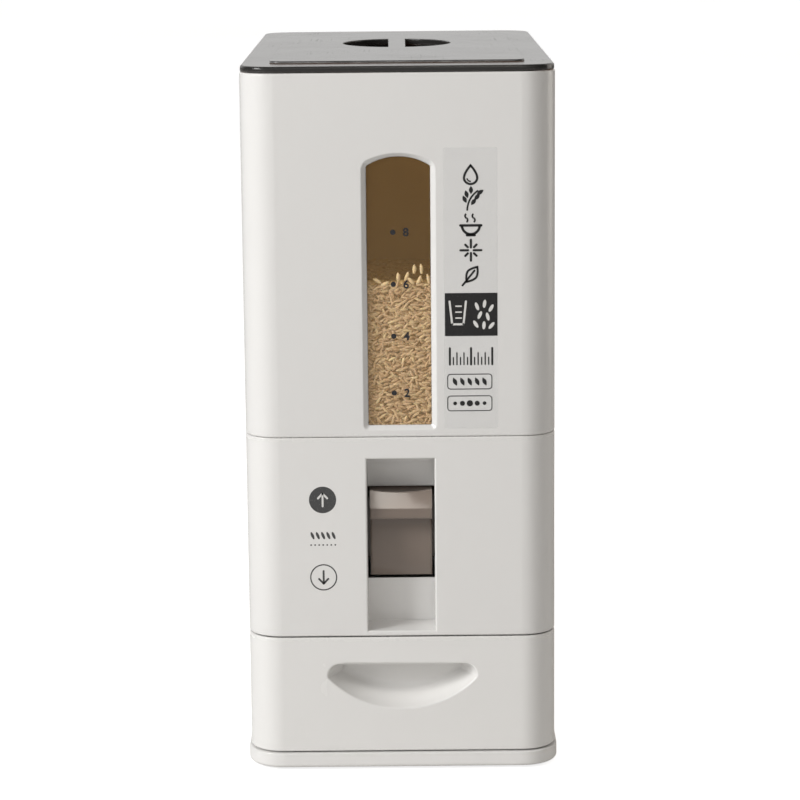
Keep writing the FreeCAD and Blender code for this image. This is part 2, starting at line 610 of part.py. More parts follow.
def friction_washers():
    """Spring washers between the discs and the cheeks, which hold the lever where it is left."""
    start = DISC_OUTER + WASHER_PLAY
    ring = axle(WASHER_RADIUS, start, start + WASHER_THICK).cut(axle(TRUNNION_RADIUS, 0, CHEEK_OUTER))
    return Part.makeCompound([ring, mirrored(ring)])


def drop_chute():
    """Short tube from under the lower gate down through the housing floor."""
    half_x, half_y = CHAMBER_HALF + CHUTE_WALL, CHUTE_HALF_Y + CHUTE_WALL
    top = AXIS_Z - DISC_RADIUS / 2
    tube = box(-half_x, half_x, AXIS_Y - half_y, AXIS_Y + half_y, BAY_TOP - CHUTE_TAIL, top)
    flange = box(-half_x, half_x, AXIS_Y - half_y - CHUTE_FLANGE, AXIS_Y + half_y + CHUTE_FLANGE,
                 HOUSING_DECK, HOUSING_DECK + CHUTE_FLANGE_THICK)
    tube = tube.fuse(flange).removeSplitter()
    tube = tube.cut(box(-CHAMBER_HALF, CHAMBER_HALF, AXIS_Y - CHUTE_HALF_Y, AXIS_Y + CHUTE_HALF_Y,
                        BAY_TOP - FAR, top + FAR))
    return tube.cut(axle(GATE_RADIUS + GATE_CLEARANCE, -half_x - FAR, half_x + FAR))


def snap_tabs(r_in, r_out, start, end):
    """Right-hand tab of a gate, which snaps through its disc."""
    first, last = start + SNAP_MARGIN_ANGLE, end - SNAP_MARGIN_ANGLE
    return arc_plate(r_in, r_out, first, last, DISC_INNER, DISC_OUTER)


def gate(start, end):
    """Curved gate between the discs, with a snap tab at each side."""
    r_in = GATE_RADIUS - GATE_THICK
    plate = arc_plate(r_in, GATE_RADIUS, start, end, -DISC_INNER, DISC_INNER)
    tab = snap_tabs(r_in, GATE_RADIUS, start, end)
    return plate.multiFuse([tab, mirrored(tab)]).removeSplitter()


def right_gate_disc():
    """Side disc that carries both gates and the lever, and turns on the chamber's trunnion."""
    disc = axle(DISC_RADIUS, DISC_INNER, DISC_OUTER).cut(
        axle(TRUNNION_RADIUS + BORE_CLEARANCE, 0, CHEEK_OUTER))
    gate_in, carrier_in = GATE_RADIUS - GATE_THICK, CARRIER_RADIUS - CARRIER_THICK
    disc = disc.cut(snap_tabs(gate_in, GATE_RADIUS, UPPER_GATE_START_ANGLE, UPPER_GATE_END_ANGLE))
    disc = disc.cut(snap_tabs(gate_in, GATE_RADIUS, LOWER_GATE_START_ANGLE, LOWER_GATE_END_ANGLE))
    return disc.cut(snap_tabs(carrier_in, CARRIER_RADIUS, CARRIER_START_ANGLE, CARRIER_END_ANGLE))


def tab_section(y, low, top, dip):
    """Upright section of the thumb tab: flat below, and above an arc that dips in the middle."""
    left, right = -LEVER_HALF, LEVER_HALF
    edges = [Part.makeLine(Vector(left, y, low), Vector(right, y, low)),
             Part.makeLine(Vector(right, y, low), Vector(right, y, top + dip)),
             Part.Arc(Vector(right, y, top + dip), Vector(0, y, top), Vector(left, y, top + dip)).toShape(),
             Part.makeLine(Vector(left, y, top + dip), Vector(left, y, low))]
    return Part.Wire(edges)


def thumb_tab():
    """Ledge that the thumb presses down: its face slopes up from a straight edge to a rim that dips."""
    front, back = AXIS_Y - LEVER_RADIUS - TAB_REACH, AXIS_Y - LEVER_RADIUS + TAB_ROOT
    rim = front + TAB_SLOPE_DEPTH
    front_top = AXIS_Z + TAB_FRONT_TOP
    low, root_top = front_top - TAB_FRONT_THICK, AXIS_Z + TAB_ROOT_TOP
    front_wire = tab_section(front, low, front_top, TAB_FRONT_DIP)
    rim_wire = tab_section(rim, low, AXIS_Z + TAB_RIM_TOP, TAB_RIM_DIP)
    ledge = Part.makeLoft([front_wire, rim_wire], True, True)
    wall = Part.Face(rim_wire).extrude(Vector(0, TAB_RIM_THICK, 0))
    root = polygon_x([(rim, low), (rim, root_top), (back, root_top), (back, root_top - TAB_ROOT_THICK)],
                     -LEVER_HALF, LEVER_HALF)
    tab = ledge.multiFuse([wall, root]).removeSplitter()
    crest = [edge for edge in tab.Edges
             if edge.BoundBox.YMin > rim - SMALL and edge.BoundBox.ZMin > AXIS_Z + TAB_RIM_TOP - SMALL]
    tab = tab.makeFillet(TAB_RIM_ROUND, crest)
    edges = [edge for edge in tab.Edges if edge.BoundBox.YMax < front + SMALL]
    return tab.makeFillet(TAB_ROUND, edges)


def lever():
    """Curved plate in the slot, shield above it, thumb tab, side ribs and the carrier of the discs."""
    inside = LEVER_RADIUS - LEVER_THICK
    carrier_in = CARRIER_RADIUS - CARRIER_THICK
    plate = arc_plate(inside, LEVER_RADIUS, LEVER_TOP_ANGLE, LEVER_BOTTOM_ANGLE, -LEVER_HALF, LEVER_HALF)
    outer = [edge for edge in plate.Edges
             if all(on_radius(vertex.Point, LEVER_RADIUS) for vertex in edge.Vertexes)]
    plate = plate.makeFillet(LEVER_ROUND, outer)
    shield = arc_plate(inside - SHIELD_STEP, LEVER_RADIUS - SHIELD_STEP, SHIELD_TOP_ANGLE,
                       LEVER_TOP_ANGLE + SHIELD_LAP_ANGLE, -LEVER_HALF, LEVER_HALF)
    rib = arc_plate(carrier_in, inside + LEVER_THICK / 2, LEVER_TOP_ANGLE, CARRIER_END_ANGLE,
                    LEVER_HALF - LEVER_RIB, LEVER_HALF)
    carrier = arc_plate(carrier_in, CARRIER_RADIUS, CARRIER_START_ANGLE, CARRIER_END_ANGLE,
                        -DISC_INNER, DISC_INNER)
    tab = snap_tabs(carrier_in, CARRIER_RADIUS, CARRIER_START_ANGLE, CARRIER_END_ANGLE)
    parts = [shield, rib, mirrored(rib), carrier, tab, mirrored(tab), thumb_tab()]
    return plate.multiFuse(parts).removeSplitter()


# ---- hopper ----------------------------------------------------------------------------------------
def window_wire(y, side, below, above):
    """Window outline, grown by side, below and above: straight sides and sill, shallow arch."""
    half, bottom = WINDOW_HALF + side, WINDOW_BOTTOM - below
    spring = WINDOW_BOTTOM + WINDOW_SIDE + above
    peak = spring + WINDOW_RISE
    edges = [Part.makeLine(Vector(-half, y, bottom), Vector(half, y, bottom)),
             Part.makeLine(Vector(half, y, bottom), Vector(half, y, spring)),
             Part.Arc(Vector(half, y, spring), Vector(0, y, peak), Vector(-half, y, spring)).toShape(),
             Part.makeLine(Vector(-half, y, spring), Vector(-half, y, bottom))]
    return Part.Wire(edges)


def rounded_window(wire, sill_round, shoulder_round):
    """The same outline with its corners rounded."""
    y = wire.BoundBox.YMin
    plate = Part.Face(wire).extrude(Vector(0, WALL, 0))
    middle = WINDOW_BOTTOM + WINDOW_SIDE / 2
    for radius, upper in ((sill_round, False), (shoulder_round, True)):
        corners = [edge for edge in plate.Edges
                   if edge.BoundBox.YLength > WALL / 2 and (edge.BoundBox.ZMin > middle) == upper]
        plate = plate.makeFillet(radius, corners)
    front = min(plate.Faces, key=lambda face: face.BoundBox.YMax - y)
    return front.OuterWire


def window_cut():
    """Tapered cutter that leaves the bevelled frame."""
    outer = window_wire(FRONT_Y, BEVEL_SIDE, BEVEL_BOTTOM, BEVEL_TOP)
    inner = window_wire(INNER_FRONT_Y, 0, 0, 0)
    wires = [rounded_window(outer, WINDOW_ROUND, WINDOW_SHOULDER_ROUND),
             rounded_window(inner, PANE_ROUND, PANE_SHOULDER_ROUND)]
    return Part.makeLoft(wires, True, True)


def hopper_shell():
    """Four walls with the window, and a ring at the bottom that drops inside the housing."""
    shell = body_block(0, HOPPER_BOTTOM, HOPPER_TOP)
    shell = shell.makeFillet(EDGE_ROUND, level_edges(shell, HOPPER_BOTTOM) + level_edges(shell, HOPPER_TOP))
    shell = shell.cut(body_block(WALL, HOPPER_BOTTOM - FAR, HOPPER_TOP + FAR))
    low, ledge = HOUSING_TOP - SPIGOT_HEIGHT, HOPPER_BOTTOM + SPIGOT_LEDGE
    spigot = body_block(WALL + SPIGOT_CLEARANCE, low, ledge)
    collar = body_block(WALL / 2, HOPPER_BOTTOM + EDGE_ROUND, ledge)
    inside = body_block(2 * WALL + SPIGOT_CLEARANCE, low - FAR, ledge + FAR)
    ring = spigot.fuse(collar).cut(inside)
    shell = shell.fuse(ring).removeSplitter()
    shell = shell.cut(window_cut())
    mouth = mouth_edges(shell, WINDOW_HALF + 2 * BEVEL_SIDE, HOPPER_BOTTOM + EDGE_ROUND,
                        HOPPER_TOP - EDGE_ROUND)
    return shell.makeFillet(MOUTH_ROUND, mouth)


def window_pane():
    """Flat pane behind the window opening."""
    wire = window_wire(INNER_FRONT_Y, PANE_LAP, PANE_LAP_BOTTOM, PANE_LAP)
    return Part.Face(wire).extrude(Vector(0, PANE_THICK, 0))


def slab(corners):
    """Flat sheet through three or four corners, thickened straight down."""
    points = [Vector(*corner) for corner in corners]
    return Part.Face(Part.makePolygon(points + points[:1])).extrude(Vector(0, 0, -FUNNEL_THICK))


def hopper_funnel():
    """Sloped floor of the hopper, folded down to the spout above the upper gate."""
    half_x, half_y = CHAMBER_HALF, CHAMBER_SLOT
    front_z = HOPPER_BOTTOM + SPIGOT_LEDGE + FUNNEL_LIFT + FUNNEL_THICK
    spout_left, spout_right = (-half_x, AXIS_Y - half_y, SPOUT_TOP), (half_x, AXIS_Y - half_y, SPOUT_TOP)
    back_left, back_right = (-half_x, AXIS_Y + half_y, SPOUT_TOP), (half_x, AXIS_Y + half_y, SPOUT_TOP)
    wall_fl, wall_fr = (-INNER_X, INNER_FRONT_Y, front_z), (INNER_X, INNER_FRONT_Y, front_z)
    back_z = HOPPER_BOTTOM + FUNNEL_RISE
    wall_bl, wall_br = (-INNER_X, INNER_BACK_Y, back_z), (INNER_X, INNER_BACK_Y, back_z)
    sheets = [slab([wall_fl, wall_fr, spout_right, spout_left]),
              slab([back_left, back_right, wall_br, wall_bl]),
              slab([wall_fr, wall_br, back_right]), slab([wall_fr, back_right, spout_right]),
              slab([wall_bl, wall_fl, back_left]), slab([wall_fl, spout_left, back_left])]
    floor = sheets[0].multiFuse(sheets[1:]).common(body_block(WALL, HOUSING_DECK, HOPPER_TOP))
    tube = box(-half_x - SPOUT_WALL, half_x + SPOUT_WALL, AXIS_Y - half_y - SPOUT_WALL,
               AXIS_Y + half_y + SPOUT_WALL, AXIS_Z, SPOUT_TOP - FUNNEL_THICK / 2)
    tube = tube.cut(axle(GATE_RADIUS + GATE_CLEARANCE, -half_x - FAR, half_x + FAR))
    bore = box(-half_x, half_x, AXIS_Y - half_y, AXIS_Y + half_y, AXIS_Z, HOPPER_TOP)
    return floor.fuse(tube).cut(bore).removeSplitter()


# ---- lid -------------------------------------------------------------------------------------------
def well_block(grow, z_low, z_high):
    """Upright elliptical block of the finger well."""
    ellipse = Part.Ellipse(Vector(0, WELL_Y, z_low), WELL_HALF_Y + grow, WELL_HALF_X + grow)
    wire = Part.Wire(ellipse.toShape())
    wire.rotate(Vector(0, WELL_Y, z_low), Vector(0, 0, 1), 90)
    return Part.Face(wire).extrude(Vector(0, 0, z_high - z_low))


def lid_shell():
    """Lid plate with a raised panel, a skirt that fits the hopper's mouth and two finger wells."""
    rim = body_block(LID_INSET, LID_BOTTOM, RIM_TOP)
    rim = rim.makeFillet(LID_ROUND, level_edges(rim, RIM_TOP))
    rim = rim.makeFillet(EDGE_ROUND, level_edges(rim, LID_BOTTOM))
    panel = plan_face(SIDE_X - PANEL_SIDE_BORDER, FRONT_Y + PANEL_FRONT_BORDER,
                      BACK_Y - PANEL_BACK_BORDER, PANEL_RADIUS, RIM_TOP - LID_PLATE / 2)
    panel = panel.extrude(Vector(0, 0, LID_PLATE / 2 + PANEL_RISE))
    panel = panel.makeFillet(PANEL_ROUND, level_edges(panel, RIM_TOP + PANEL_RISE))
    under = RIM_TOP - LID_PLATE
    outside = WALL + SKIRT_CLEARANCE
    skirt = body_block(outside, LID_BOTTOM - SKIRT_DEPTH, under + SMALL)
    hollow = body_block(outside + SKIRT_THICK, LID_BOTTOM - SKIRT_DEPTH - FAR, under)
    plate = rim.multiFuse([panel, skirt]).removeSplitter().cut(hollow)
    wells = well_block(0, under - FAR, RIM_TOP + FAR)
    bar = box(-WELL_BAR / 2, WELL_BAR / 2, -BODY_DEPTH, BODY_DEPTH, under - FAR, RIM_TOP + FAR)
    return plate.cut(wells.cut(bar))


def finger_cup():
    """Closed cup under the finger wells."""
    top = RIM_TOP - LID_PLATE
    low = top - CUP_DEPTH
    outer = well_block(CUP_MARGIN + CUP_WALL, low - CUP_WALL, top)
    outer = outer.makeFillet(CUP_FLOOR_ROUND + CUP_WALL, level_edges(outer, low - CUP_WALL))
    inner = well_block(CUP_MARGIN, low, top + FAR)
    inner = inner.makeFillet(CUP_FLOOR_ROUND, level_edges(inner, low))
    return outer.cut(inner)


# ---- all sub-parts ---------------------------------------------------------------------------------
def build():
    """Every sub-part by name."""
    return {
        "rubber_feet": rubber_feet(),
        "base_tray": base_tray(),
        "base_screws": base_screws(),
        "bay_shell": bay_shell(),
        "right_runner": right_runner(),
        "left_runner": mirrored(right_runner()),
        "housing_shell": housing_shell(),
        "housing_screws": housing_screws(),
        "right_cheek": right_cheek(),
        "left_cheek": mirrored(right_cheek()),
        "cheek_screws": cheek_screws(),
        "friction_washers": friction_washers(),
        "metering_chamber": metering_chamber(),
        "drop_chute": drop_chute(),
        "upper_gate": gate(UPPER_GATE_START_ANGLE, UPPER_GATE_END_ANGLE),
        "lower_gate": gate(LOWER_GATE_START_ANGLE, LOWER_GATE_END_ANGLE),
        "right_gate_disc": right_gate_disc(),
        "left_gate_disc": mirrored(right_gate_disc()),
        "lever": lever(),
        "drawer_front": drawer_front(),
        "drawer_box": drawer_box(),
        "drawer_screws": drawer_screws(),
        "hopper_shell": hopper_shell(),
        "window_pane": window_pane(),
        "hopper_funnel": hopper_funnel(),
        "lid_shell": lid_shell(),
        "finger_cup": finger_cup(),
    }


os.makedirs("parts", exist_ok=True)
for name, shape in build().items():
    shape.exportStep("parts/" + name + ".step")
    size = shape.BoundBox
    print("%-17s solids %d  valid %s  %.1f x %.1f x %.1f mm  z %.1f to %.1f  %.1f cm3" % (
        name, len(shape.Solids), shape.isValid(), size.XLength, size.YLength, size.ZLength,
        size.ZMin, size.ZMax, shape.Volume / 1000))
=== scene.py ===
# %% [markdown]
# # A measuring rice bin, dressed as the real one
# The designed pieces of this bin come in as a fixed frame: casings, window pane, lever, drawer and lid
# already have their true shape and place. This notebook gives them their finishes and adds what no
# casing holds: the rice, the scale on the window, the label and the marks beside the lever. All sizes are
# in metres, Z is up, and the front of the bin looks along -Y.

# %% Load the designed pieces
import math
import random

import bmesh
import bpy
from mathutils import Matrix, Vector, noise


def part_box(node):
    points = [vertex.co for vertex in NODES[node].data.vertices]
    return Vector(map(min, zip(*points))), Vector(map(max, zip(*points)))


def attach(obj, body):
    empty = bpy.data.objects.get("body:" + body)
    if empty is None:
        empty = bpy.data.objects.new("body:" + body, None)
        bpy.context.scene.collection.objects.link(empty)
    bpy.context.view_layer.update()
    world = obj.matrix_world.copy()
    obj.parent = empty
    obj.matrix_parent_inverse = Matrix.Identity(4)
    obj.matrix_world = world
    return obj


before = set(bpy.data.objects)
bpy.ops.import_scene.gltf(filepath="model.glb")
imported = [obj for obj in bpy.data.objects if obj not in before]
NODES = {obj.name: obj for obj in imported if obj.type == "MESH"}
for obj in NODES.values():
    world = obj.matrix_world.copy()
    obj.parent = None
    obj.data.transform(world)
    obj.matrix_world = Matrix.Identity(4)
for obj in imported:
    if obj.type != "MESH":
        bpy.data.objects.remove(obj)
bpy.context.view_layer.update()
print("pieces in the frame:", len(NODES))

# %% [markdown]
# ## Places taken from the frame
# A mark that is printed on a casing has to lie on that casing, whatever its size. So every place below is
# read from the boxes of the pieces, and only what a draughtsman would choose freely is a number.

# %% Places on the bin
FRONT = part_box("hopper_shell")[0][1]            # front face of the casings
PANE_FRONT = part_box("window_pane")[0][1]
PANE_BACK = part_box("window_pane")[1][1]
BASE_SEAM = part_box("base_tray")[1][2]
HOUSING_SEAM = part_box("drawer_front")[1][2]
HOPPER_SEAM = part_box("housing_shell")[1][2]
WINDOW_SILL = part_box("window_pane")[0][2] + 0.0012  # the frame overlaps the pane
WINDOW_HALF = 0.0202                            # half the width that can be looked through
print("front face y %.4f, seams z %.4f %.4f %.4f" % (FRONT, BASE_SEAM, HOUSING_SEAM, HOPPER_SEAM))


# %% [markdown]
# ## Small helpers for shader nodes
# Blender's nodes can be added one by one in the editor. In code it is tidier to have one function that
# fills a node's sockets, either with a value or with a wire from another node, and one that makes a node
# and sets its own properties. The functions after them name the few steps that every finish repeats.

# %% Node helpers
def fill(tree, node, sockets):
    """Gives each named socket a value, or a wire from another node's output."""
    for key, value in sockets.items():
        if isinstance(value, bpy.types.NodeSocket):
            tree.links.new(value, node.inputs[key])
        else:
            node.inputs[key].default_value = value


def add_node(tree, kind, sockets=None, **settings):
    """One shader node with its properties set and its sockets filled."""
    node = tree.nodes.new("ShaderNode" + kind)
    for key, value in settings.items():
        setattr(node, key, value)
    fill(tree, node, sockets or {})
    return node


def calc(tree, operation, first, second=0.0, clamp=False):
    """Arithmetic on two values."""
    return add_node(tree, "Math", {0: first, 1: second}, operation=operation, use_clamp=clamp).outputs[0]


def blend_colours(tree, amount, first, second, how="MIX"):
    """Two colours mixed by an amount."""
    sockets = {0: amount, 6: first, 7: second}
    return add_node(tree, "Mix", sockets, data_type="RGBA", blend_type=how).outputs[2]


def object_point(tree, stretch=(1, 1, 1)):
    """The point on the piece, in the bin's own frame, stretched per axis."""
    point = add_node(tree, "TexCoord").outputs["Object"]
    return add_node(tree, "Mapping", {"Vector": point, "Scale": stretch}).outputs[0]


def noise_at(tree, point, scale, detail=2.0, distortion=0.0):
    """Cloudy noise, from 0 to 1 and mostly near 0.5."""
    sockets = {"Vector": point, "Scale": scale, "Detail": detail, "Distortion": distortion}
    return add_node(tree, "TexNoise", sockets).outputs[0]


def ramp(tree, value, low, high, to_low=0.0, to_high=1.0):
    """Smooth step from to_low to to_high while value goes from low to high."""
    sockets = {"Value": value, "From Min": low, "From Max": high, "To Min": to_low, "To Max": to_high}
    return add_node(tree, "MapRange", sockets, interpolation_type="SMOOTHSTEP").outputs[0]


def new_group(name, inputs, outputs):
    """Empty node group with named sockets: its tree, its input node and its output node."""
    group = bpy.data.node_groups.new(name, "ShaderNodeTree")
    for label, kind, value in inputs:
        socket = group.interface.new_socket(name=label, in_out="INPUT", socket_type="NodeSocket" + kind)
        socket.default_value = value
    for label, kind in outputs:
        group.interface.new_socket(name=label, in_out="OUTPUT", socket_type="NodeSocket" + kind)
    return group, group.nodes.new("NodeGroupInput"), group.nodes.new("NodeGroupOutput")


def place_group(tree, group, sockets=None):
    """A node group placed in a material."""
    return add_node(tree, "Group", sockets, node_tree=group)


def new_material(name):
    """A material with its node tree and its Principled shader."""
    material = bpy.data.materials.new(name)
    material.use_nodes = True
    tree = material.node_tree
    return material, tree, tree.nodes["Principled BSDF"]


def split_for_eye(tree, to_others, to_eye, end):
    """Lets the eye's own rays meet one shader and all other rays another."""
    is_eye = add_node(tree, "LightPath").outputs["Is Camera Ray"]
    mixed = add_node(tree, "MixShader", {0: is_eye, 1: to_others.outputs[0], 2: to_eye.outputs[0]})
    fill(tree, end, {"Surface": mixed.outputs[0]})


print("node helpers ready")

# %% [markdown]
# ## The skin of moulded plastic
# Injection moulded plastic is never one flat colour. The melt leaves faint clouds and flow lines, the
# spark-eroded mould leaves a fine grain, and the gloss changes a little from place to place. The group
# below puts these together once, and every plastic uses it with its own values. The alternative, one
# noise per material, soon gives ten versions that don't belong to one factory.

# %% Node group: moulded skin
moulded_skin, skin_in, skin_out = new_group(
    "moulded_skin",
    [("Colour", "Color", (0.8, 0.8, 0.8, 1)), ("Mottle", "Float", 0.06), ("Roughness", "Float", 0.4),
     ("Unevenness", "Float", 0.1), ("Grain Scale", "Float", 1500.0)],
    [("Colour", "Color"), ("Roughness", "Float"), ("Height", "Float")])
clouds = noise_at(moulded_skin, object_point(moulded_skin), 16.0, 3.0)
flow = noise_at(moulded_skin, object_point(moulded_skin, (1, 1, 0.12)), 75.0, 2.0)
grain = noise_at(moulded_skin, object_point(moulded_skin), skin_in.outputs["Grain Scale"], 2.0)
mottle = calc(moulded_skin, "MULTIPLY", clouds, skin_in.outputs["Mottle"])
darker = blend_colours(moulded_skin, 1.0, skin_in.outputs["Colour"], (0.62, 0.60, 0.56, 1), "MULTIPLY")
uneven = calc(moulded_skin, "ADD", calc(moulded_skin, "SUBTRACT", clouds, 0.5),
              calc(moulded_skin, "MULTIPLY", calc(moulded_skin, "SUBTRACT", flow, 0.5), 0.6))
uneven = calc(moulded_skin, "MULTIPLY", uneven, skin_in.outputs["Unevenness"])
fill(moulded_skin, skin_out, {
    "Colour": blend_colours(moulded_skin, mottle, skin_in.outputs["Colour"], darker),
    "Roughness": calc(moulded_skin, "ADD", skin_in.outputs["Roughness"], uneven, clamp=True),
    "Height": calc(moulded_skin, "ADD", calc(moulded_skin, "MULTIPLY", grain, 0.8),
                   calc(moulded_skin, "MULTIPLY", flow, 0.35))})
print("group", moulded_skin.name, "with", len(moulded_skin.nodes), "nodes")

# %% [markdown]
# ## Dust in the seams
# Rice dust and kitchen film gather along the joints between the bands of the bin. A band round each seam
# height, broken up by noise, is enough: the seams are level, so the height of a point says how far it is
# from one. A paint mask would need UVs, which these casings don't have.

# %% Node group: seam dust
seam_dust, dust_in, dust_out = new_group(
    "seam_dust", [("Seam Height", "Float", 0.1), ("Reach", "Float", 0.004)], [("Dust", "Float")])
height = add_node(seam_dust, "SeparateXYZ", {0: object_point(seam_dust)}).outputs[2]
away = calc(seam_dust, "ABSOLUTE", calc(seam_dust, "SUBTRACT", height, dust_in.outputs["Seam Height"]))
near = ramp(seam_dust, calc(seam_dust, "DIVIDE", away, dust_in.outputs["Reach"]), 0.0, 1.0, 1.0, 0.0)
broken = ramp(seam_dust, noise_at(seam_dust, object_point(seam_dust), 220.0, 4.0), 0.3, 0.75)
fill(seam_dust, dust_out, {"Dust": calc(seam_dust, "MULTIPLY", near, broken)})
print("group", seam_dust.name, "ready")

# %% [markdown]
# ## Finger smears and fine scratches
# Hands leave soft smears on gloss, and cloths leave hair scratches. Smears are a warped noise cut off at a
# threshold. Scratches are noise squeezed to hair lines in two directions. Both only touch the
# roughness, so that they show in a reflection and vanish in full light.

# %% Node groups: smears and scratches
smears, smears_in, smears_out = new_group(
    "smears", [("Scale", "Float", 30.0), ("Cut", "Float", 0.55)], [("Smear", "Float")])
smear_noise = noise_at(smears, object_point(smears, (1, 1.6, 1)), smears_in.outputs["Scale"], 4.0, 1.2)
smear_top = calc(smears, "ADD", smears_in.outputs["Cut"], 0.3)
fill(smears, smears_out, {"Smear": ramp(smears, smear_noise, smears_in.outputs["Cut"], smear_top)})

scratches, scratches_in, scratches_out = new_group(
    "scratches", [("Density", "Float", 0.5)], [("Scratch", "Float")])
hair_lines = []
for turn, stretch in ((0.35, (900, 14, 30)), (-0.9, (700, 10, 20))):
    point = add_node(scratches, "TexCoord").outputs["Object"]
    sockets = {"Vector": point, "Rotation": (0.2, turn * 0.5, turn), "Scale": stretch}
    turned = add_node(scratches, "Mapping", sockets).outputs[0]
    hair_lines.append(ramp(scratches, noise_at(scratches, turned, 1.0, 0.0), 0.72, 0.76))
patch = ramp(scratches, noise_at(scratches, object_point(scratches), 22.0, 2.0), 0.5, 0.7)
both = calc(scratches, "MULTIPLY", calc(scratches, "MAXIMUM", hair_lines[0], hair_lines[1]), patch)
fill(scratches, scratches_out,
     {"Scratch": calc(scratches, "MULTIPLY", both, scratches_in.outputs["Density"])})
print("groups", smears.name, "and", scratches.name, "ready")

# %% [markdown]
# ## Rubbed and highlit edges
# Edges go a little lighter in colour: partly wear where hands and neighbours rub, partly a painted
# highlight line such as a rounded edge catches. The rounded normal also softens their shading. Where the
# rounded surface normal (what the surface would have with soft edges) differs from the true one, there is
# an edge. That works on any mesh, also where a casing is a soup of triangles and pointiness can't be
# measured.

# %% Node group: edge wear and painted edge highlight
edge_wear_and_highlight, edge_in, edge_out = new_group(
    "edge_wear_and_highlight", [("Radius", "Float", 0.0008)], [("Edge", "Float"), ("Normal", "Vector")])
soft = add_node(edge_wear_and_highlight, "Bevel", {"Radius": edge_in.outputs["Radius"]}, samples=4).outputs[0]
true = add_node(edge_wear_and_highlight, "NewGeometry").outputs["Normal"]
alike = add_node(edge_wear_and_highlight, "VectorMath", {0: soft, 1: true}, operation="DOT_PRODUCT").outputs["Value"]
patchy = ramp(edge_wear_and_highlight, noise_at(edge_wear_and_highlight, object_point(edge_wear_and_highlight), 90.0, 3.0), 0.3, 0.7, 0.4, 1.0)
edge = calc(edge_wear_and_highlight, "MULTIPLY", ramp(edge_wear_and_highlight, alike, 0.55, 0.99, 1.0, 0.0), patchy)
fill(edge_wear_and_highlight, edge_out, {"Edge": edge, "Normal": soft})
print("group", edge_wear_and_highlight.name, "ready")


# %% [markdown]
# ## The finishes
# Every finish starts from the same steps: moulded skin into colour, roughness and bump, then what is
# special to it. The first function below does the common part and hands back what a finish may still
# change. The others lay dust over the colour and add dust, smears or scratches to the roughness.

# %% Common part of a plastic finish
def moulded_plastic(name, colour, roughness, mottle=0.10, unevenness=0.10, grain_scale=1500.0,
                    bump=0.12, edge_radius=None, edge_highlight_paint=0.25):
    """Principled plastic with the moulded skin. Returns its material, tree and shader."""
    material, tree, shader = new_material(name)
    skin = place_group(tree, moulded_skin, {"Colour": (*colour, 1), "Mottle": mottle,
                                            "Roughness": roughness, "Unevenness": unevenness,
                                            "Grain Scale": grain_scale})
    bumps = add_node(tree, "Bump", {"Height": skin.outputs["Height"], "Strength": bump, "Distance": 0.0004})
    colour_out = skin.outputs["Colour"]
    if edge_radius:
        edges = place_group(tree, edge_wear_and_highlight, {"Radius": edge_radius})
        fill(tree, bumps, {"Normal": edges.outputs["Normal"]})
        # The edge mask lightens the colour: partly rubbed wear, partly a painted highlight along the edges.
        light = blend_colours(tree, 1.0, colour_out, (edge_highlight_paint, edge_highlight_paint, edge_highlight_paint, 1), "SCREEN")
        colour_out = blend_colours(tree, edges.outputs["Edge"], colour_out, light)
    fill(tree, shader, {"Base Color": colour_out, "Roughness": skin.outputs["Roughness"],
                        "Normal": bumps.outputs[0]})
    return material, tree, shader


def cover_colour(tree, shader, mask, colour):
    """Lays another colour over the plastic's own, as much as mask says."""
    already = shader.inputs["Base Color"].links[0].from_socket
    fill(tree, shader, {"Base Color": blend_colours(tree, mask, already, colour)})


def feed_more_roughness(tree, shader, mask, amount):
    """Adds amount to the roughness where mask is 1."""
    already = shader.inputs["Roughness"].links[0].from_socket
    more = calc(tree, "MULTIPLY", mask, amount)
    fill(tree, shader, {"Roughness": calc(tree, "ADD", already, more, clamp=True)})


def wear(tree, shader, group, sockets, amount):
    """Smears or scratches that roughen the surface by amount."""
    feed_more_roughness(tree, shader, place_group(tree, group, sockets).outputs[0], amount)


print("finish builder ready")

# %% [markdown]
# ## White casings
# The casings are satin white polypropylene: slightly warm, with a soft sheen. The seams carry a breath
# of dust, and hands leave smears that only show in the sheen. Hopper, housing, drawer and base are
# one plastic, so one function makes them, each with its own seams. Their whites are set a hair apart,
# lighter from the hopper down to drawer and base: painted light for the floor's bounce on the lower bands.

# %% White casing finishes
DUST = (0.40, 0.37, 0.32, 1)
DUST_COVER = 0.08                       # how much of the white the thickest dust hides
DUST_REACH = 0.0035
FOOT_LINE = 0.002                       # height at which the base meets its feet


def white_finish(name, colour, roughness, seams):
    """Satin white plastic with dust along its seams."""
    # The edge group lightens the edges in colour: a painted highlight line, with some rubbed wear.
    material, tree, shader = moulded_plastic(name, colour, roughness, mottle=0.04, unevenness=0.06,
                                             bump=0.05, edge_radius=0.0007)
    dusty = 0.0
    for seam in seams:
        dust = place_group(tree, seam_dust, {"Seam Height": seam, "Reach": DUST_REACH}).outputs["Dust"]
        dusty = calc(tree, "MAXIMUM", dust, dusty)
    cover_colour(tree, shader, calc(tree, "MULTIPLY", dusty, DUST_COVER), DUST)
    wear(tree, shader, smears, {"Scale": 26.0, "Cut": 0.56}, 0.03)
    feed_more_roughness(tree, shader, dusty, 0.25)
    return material


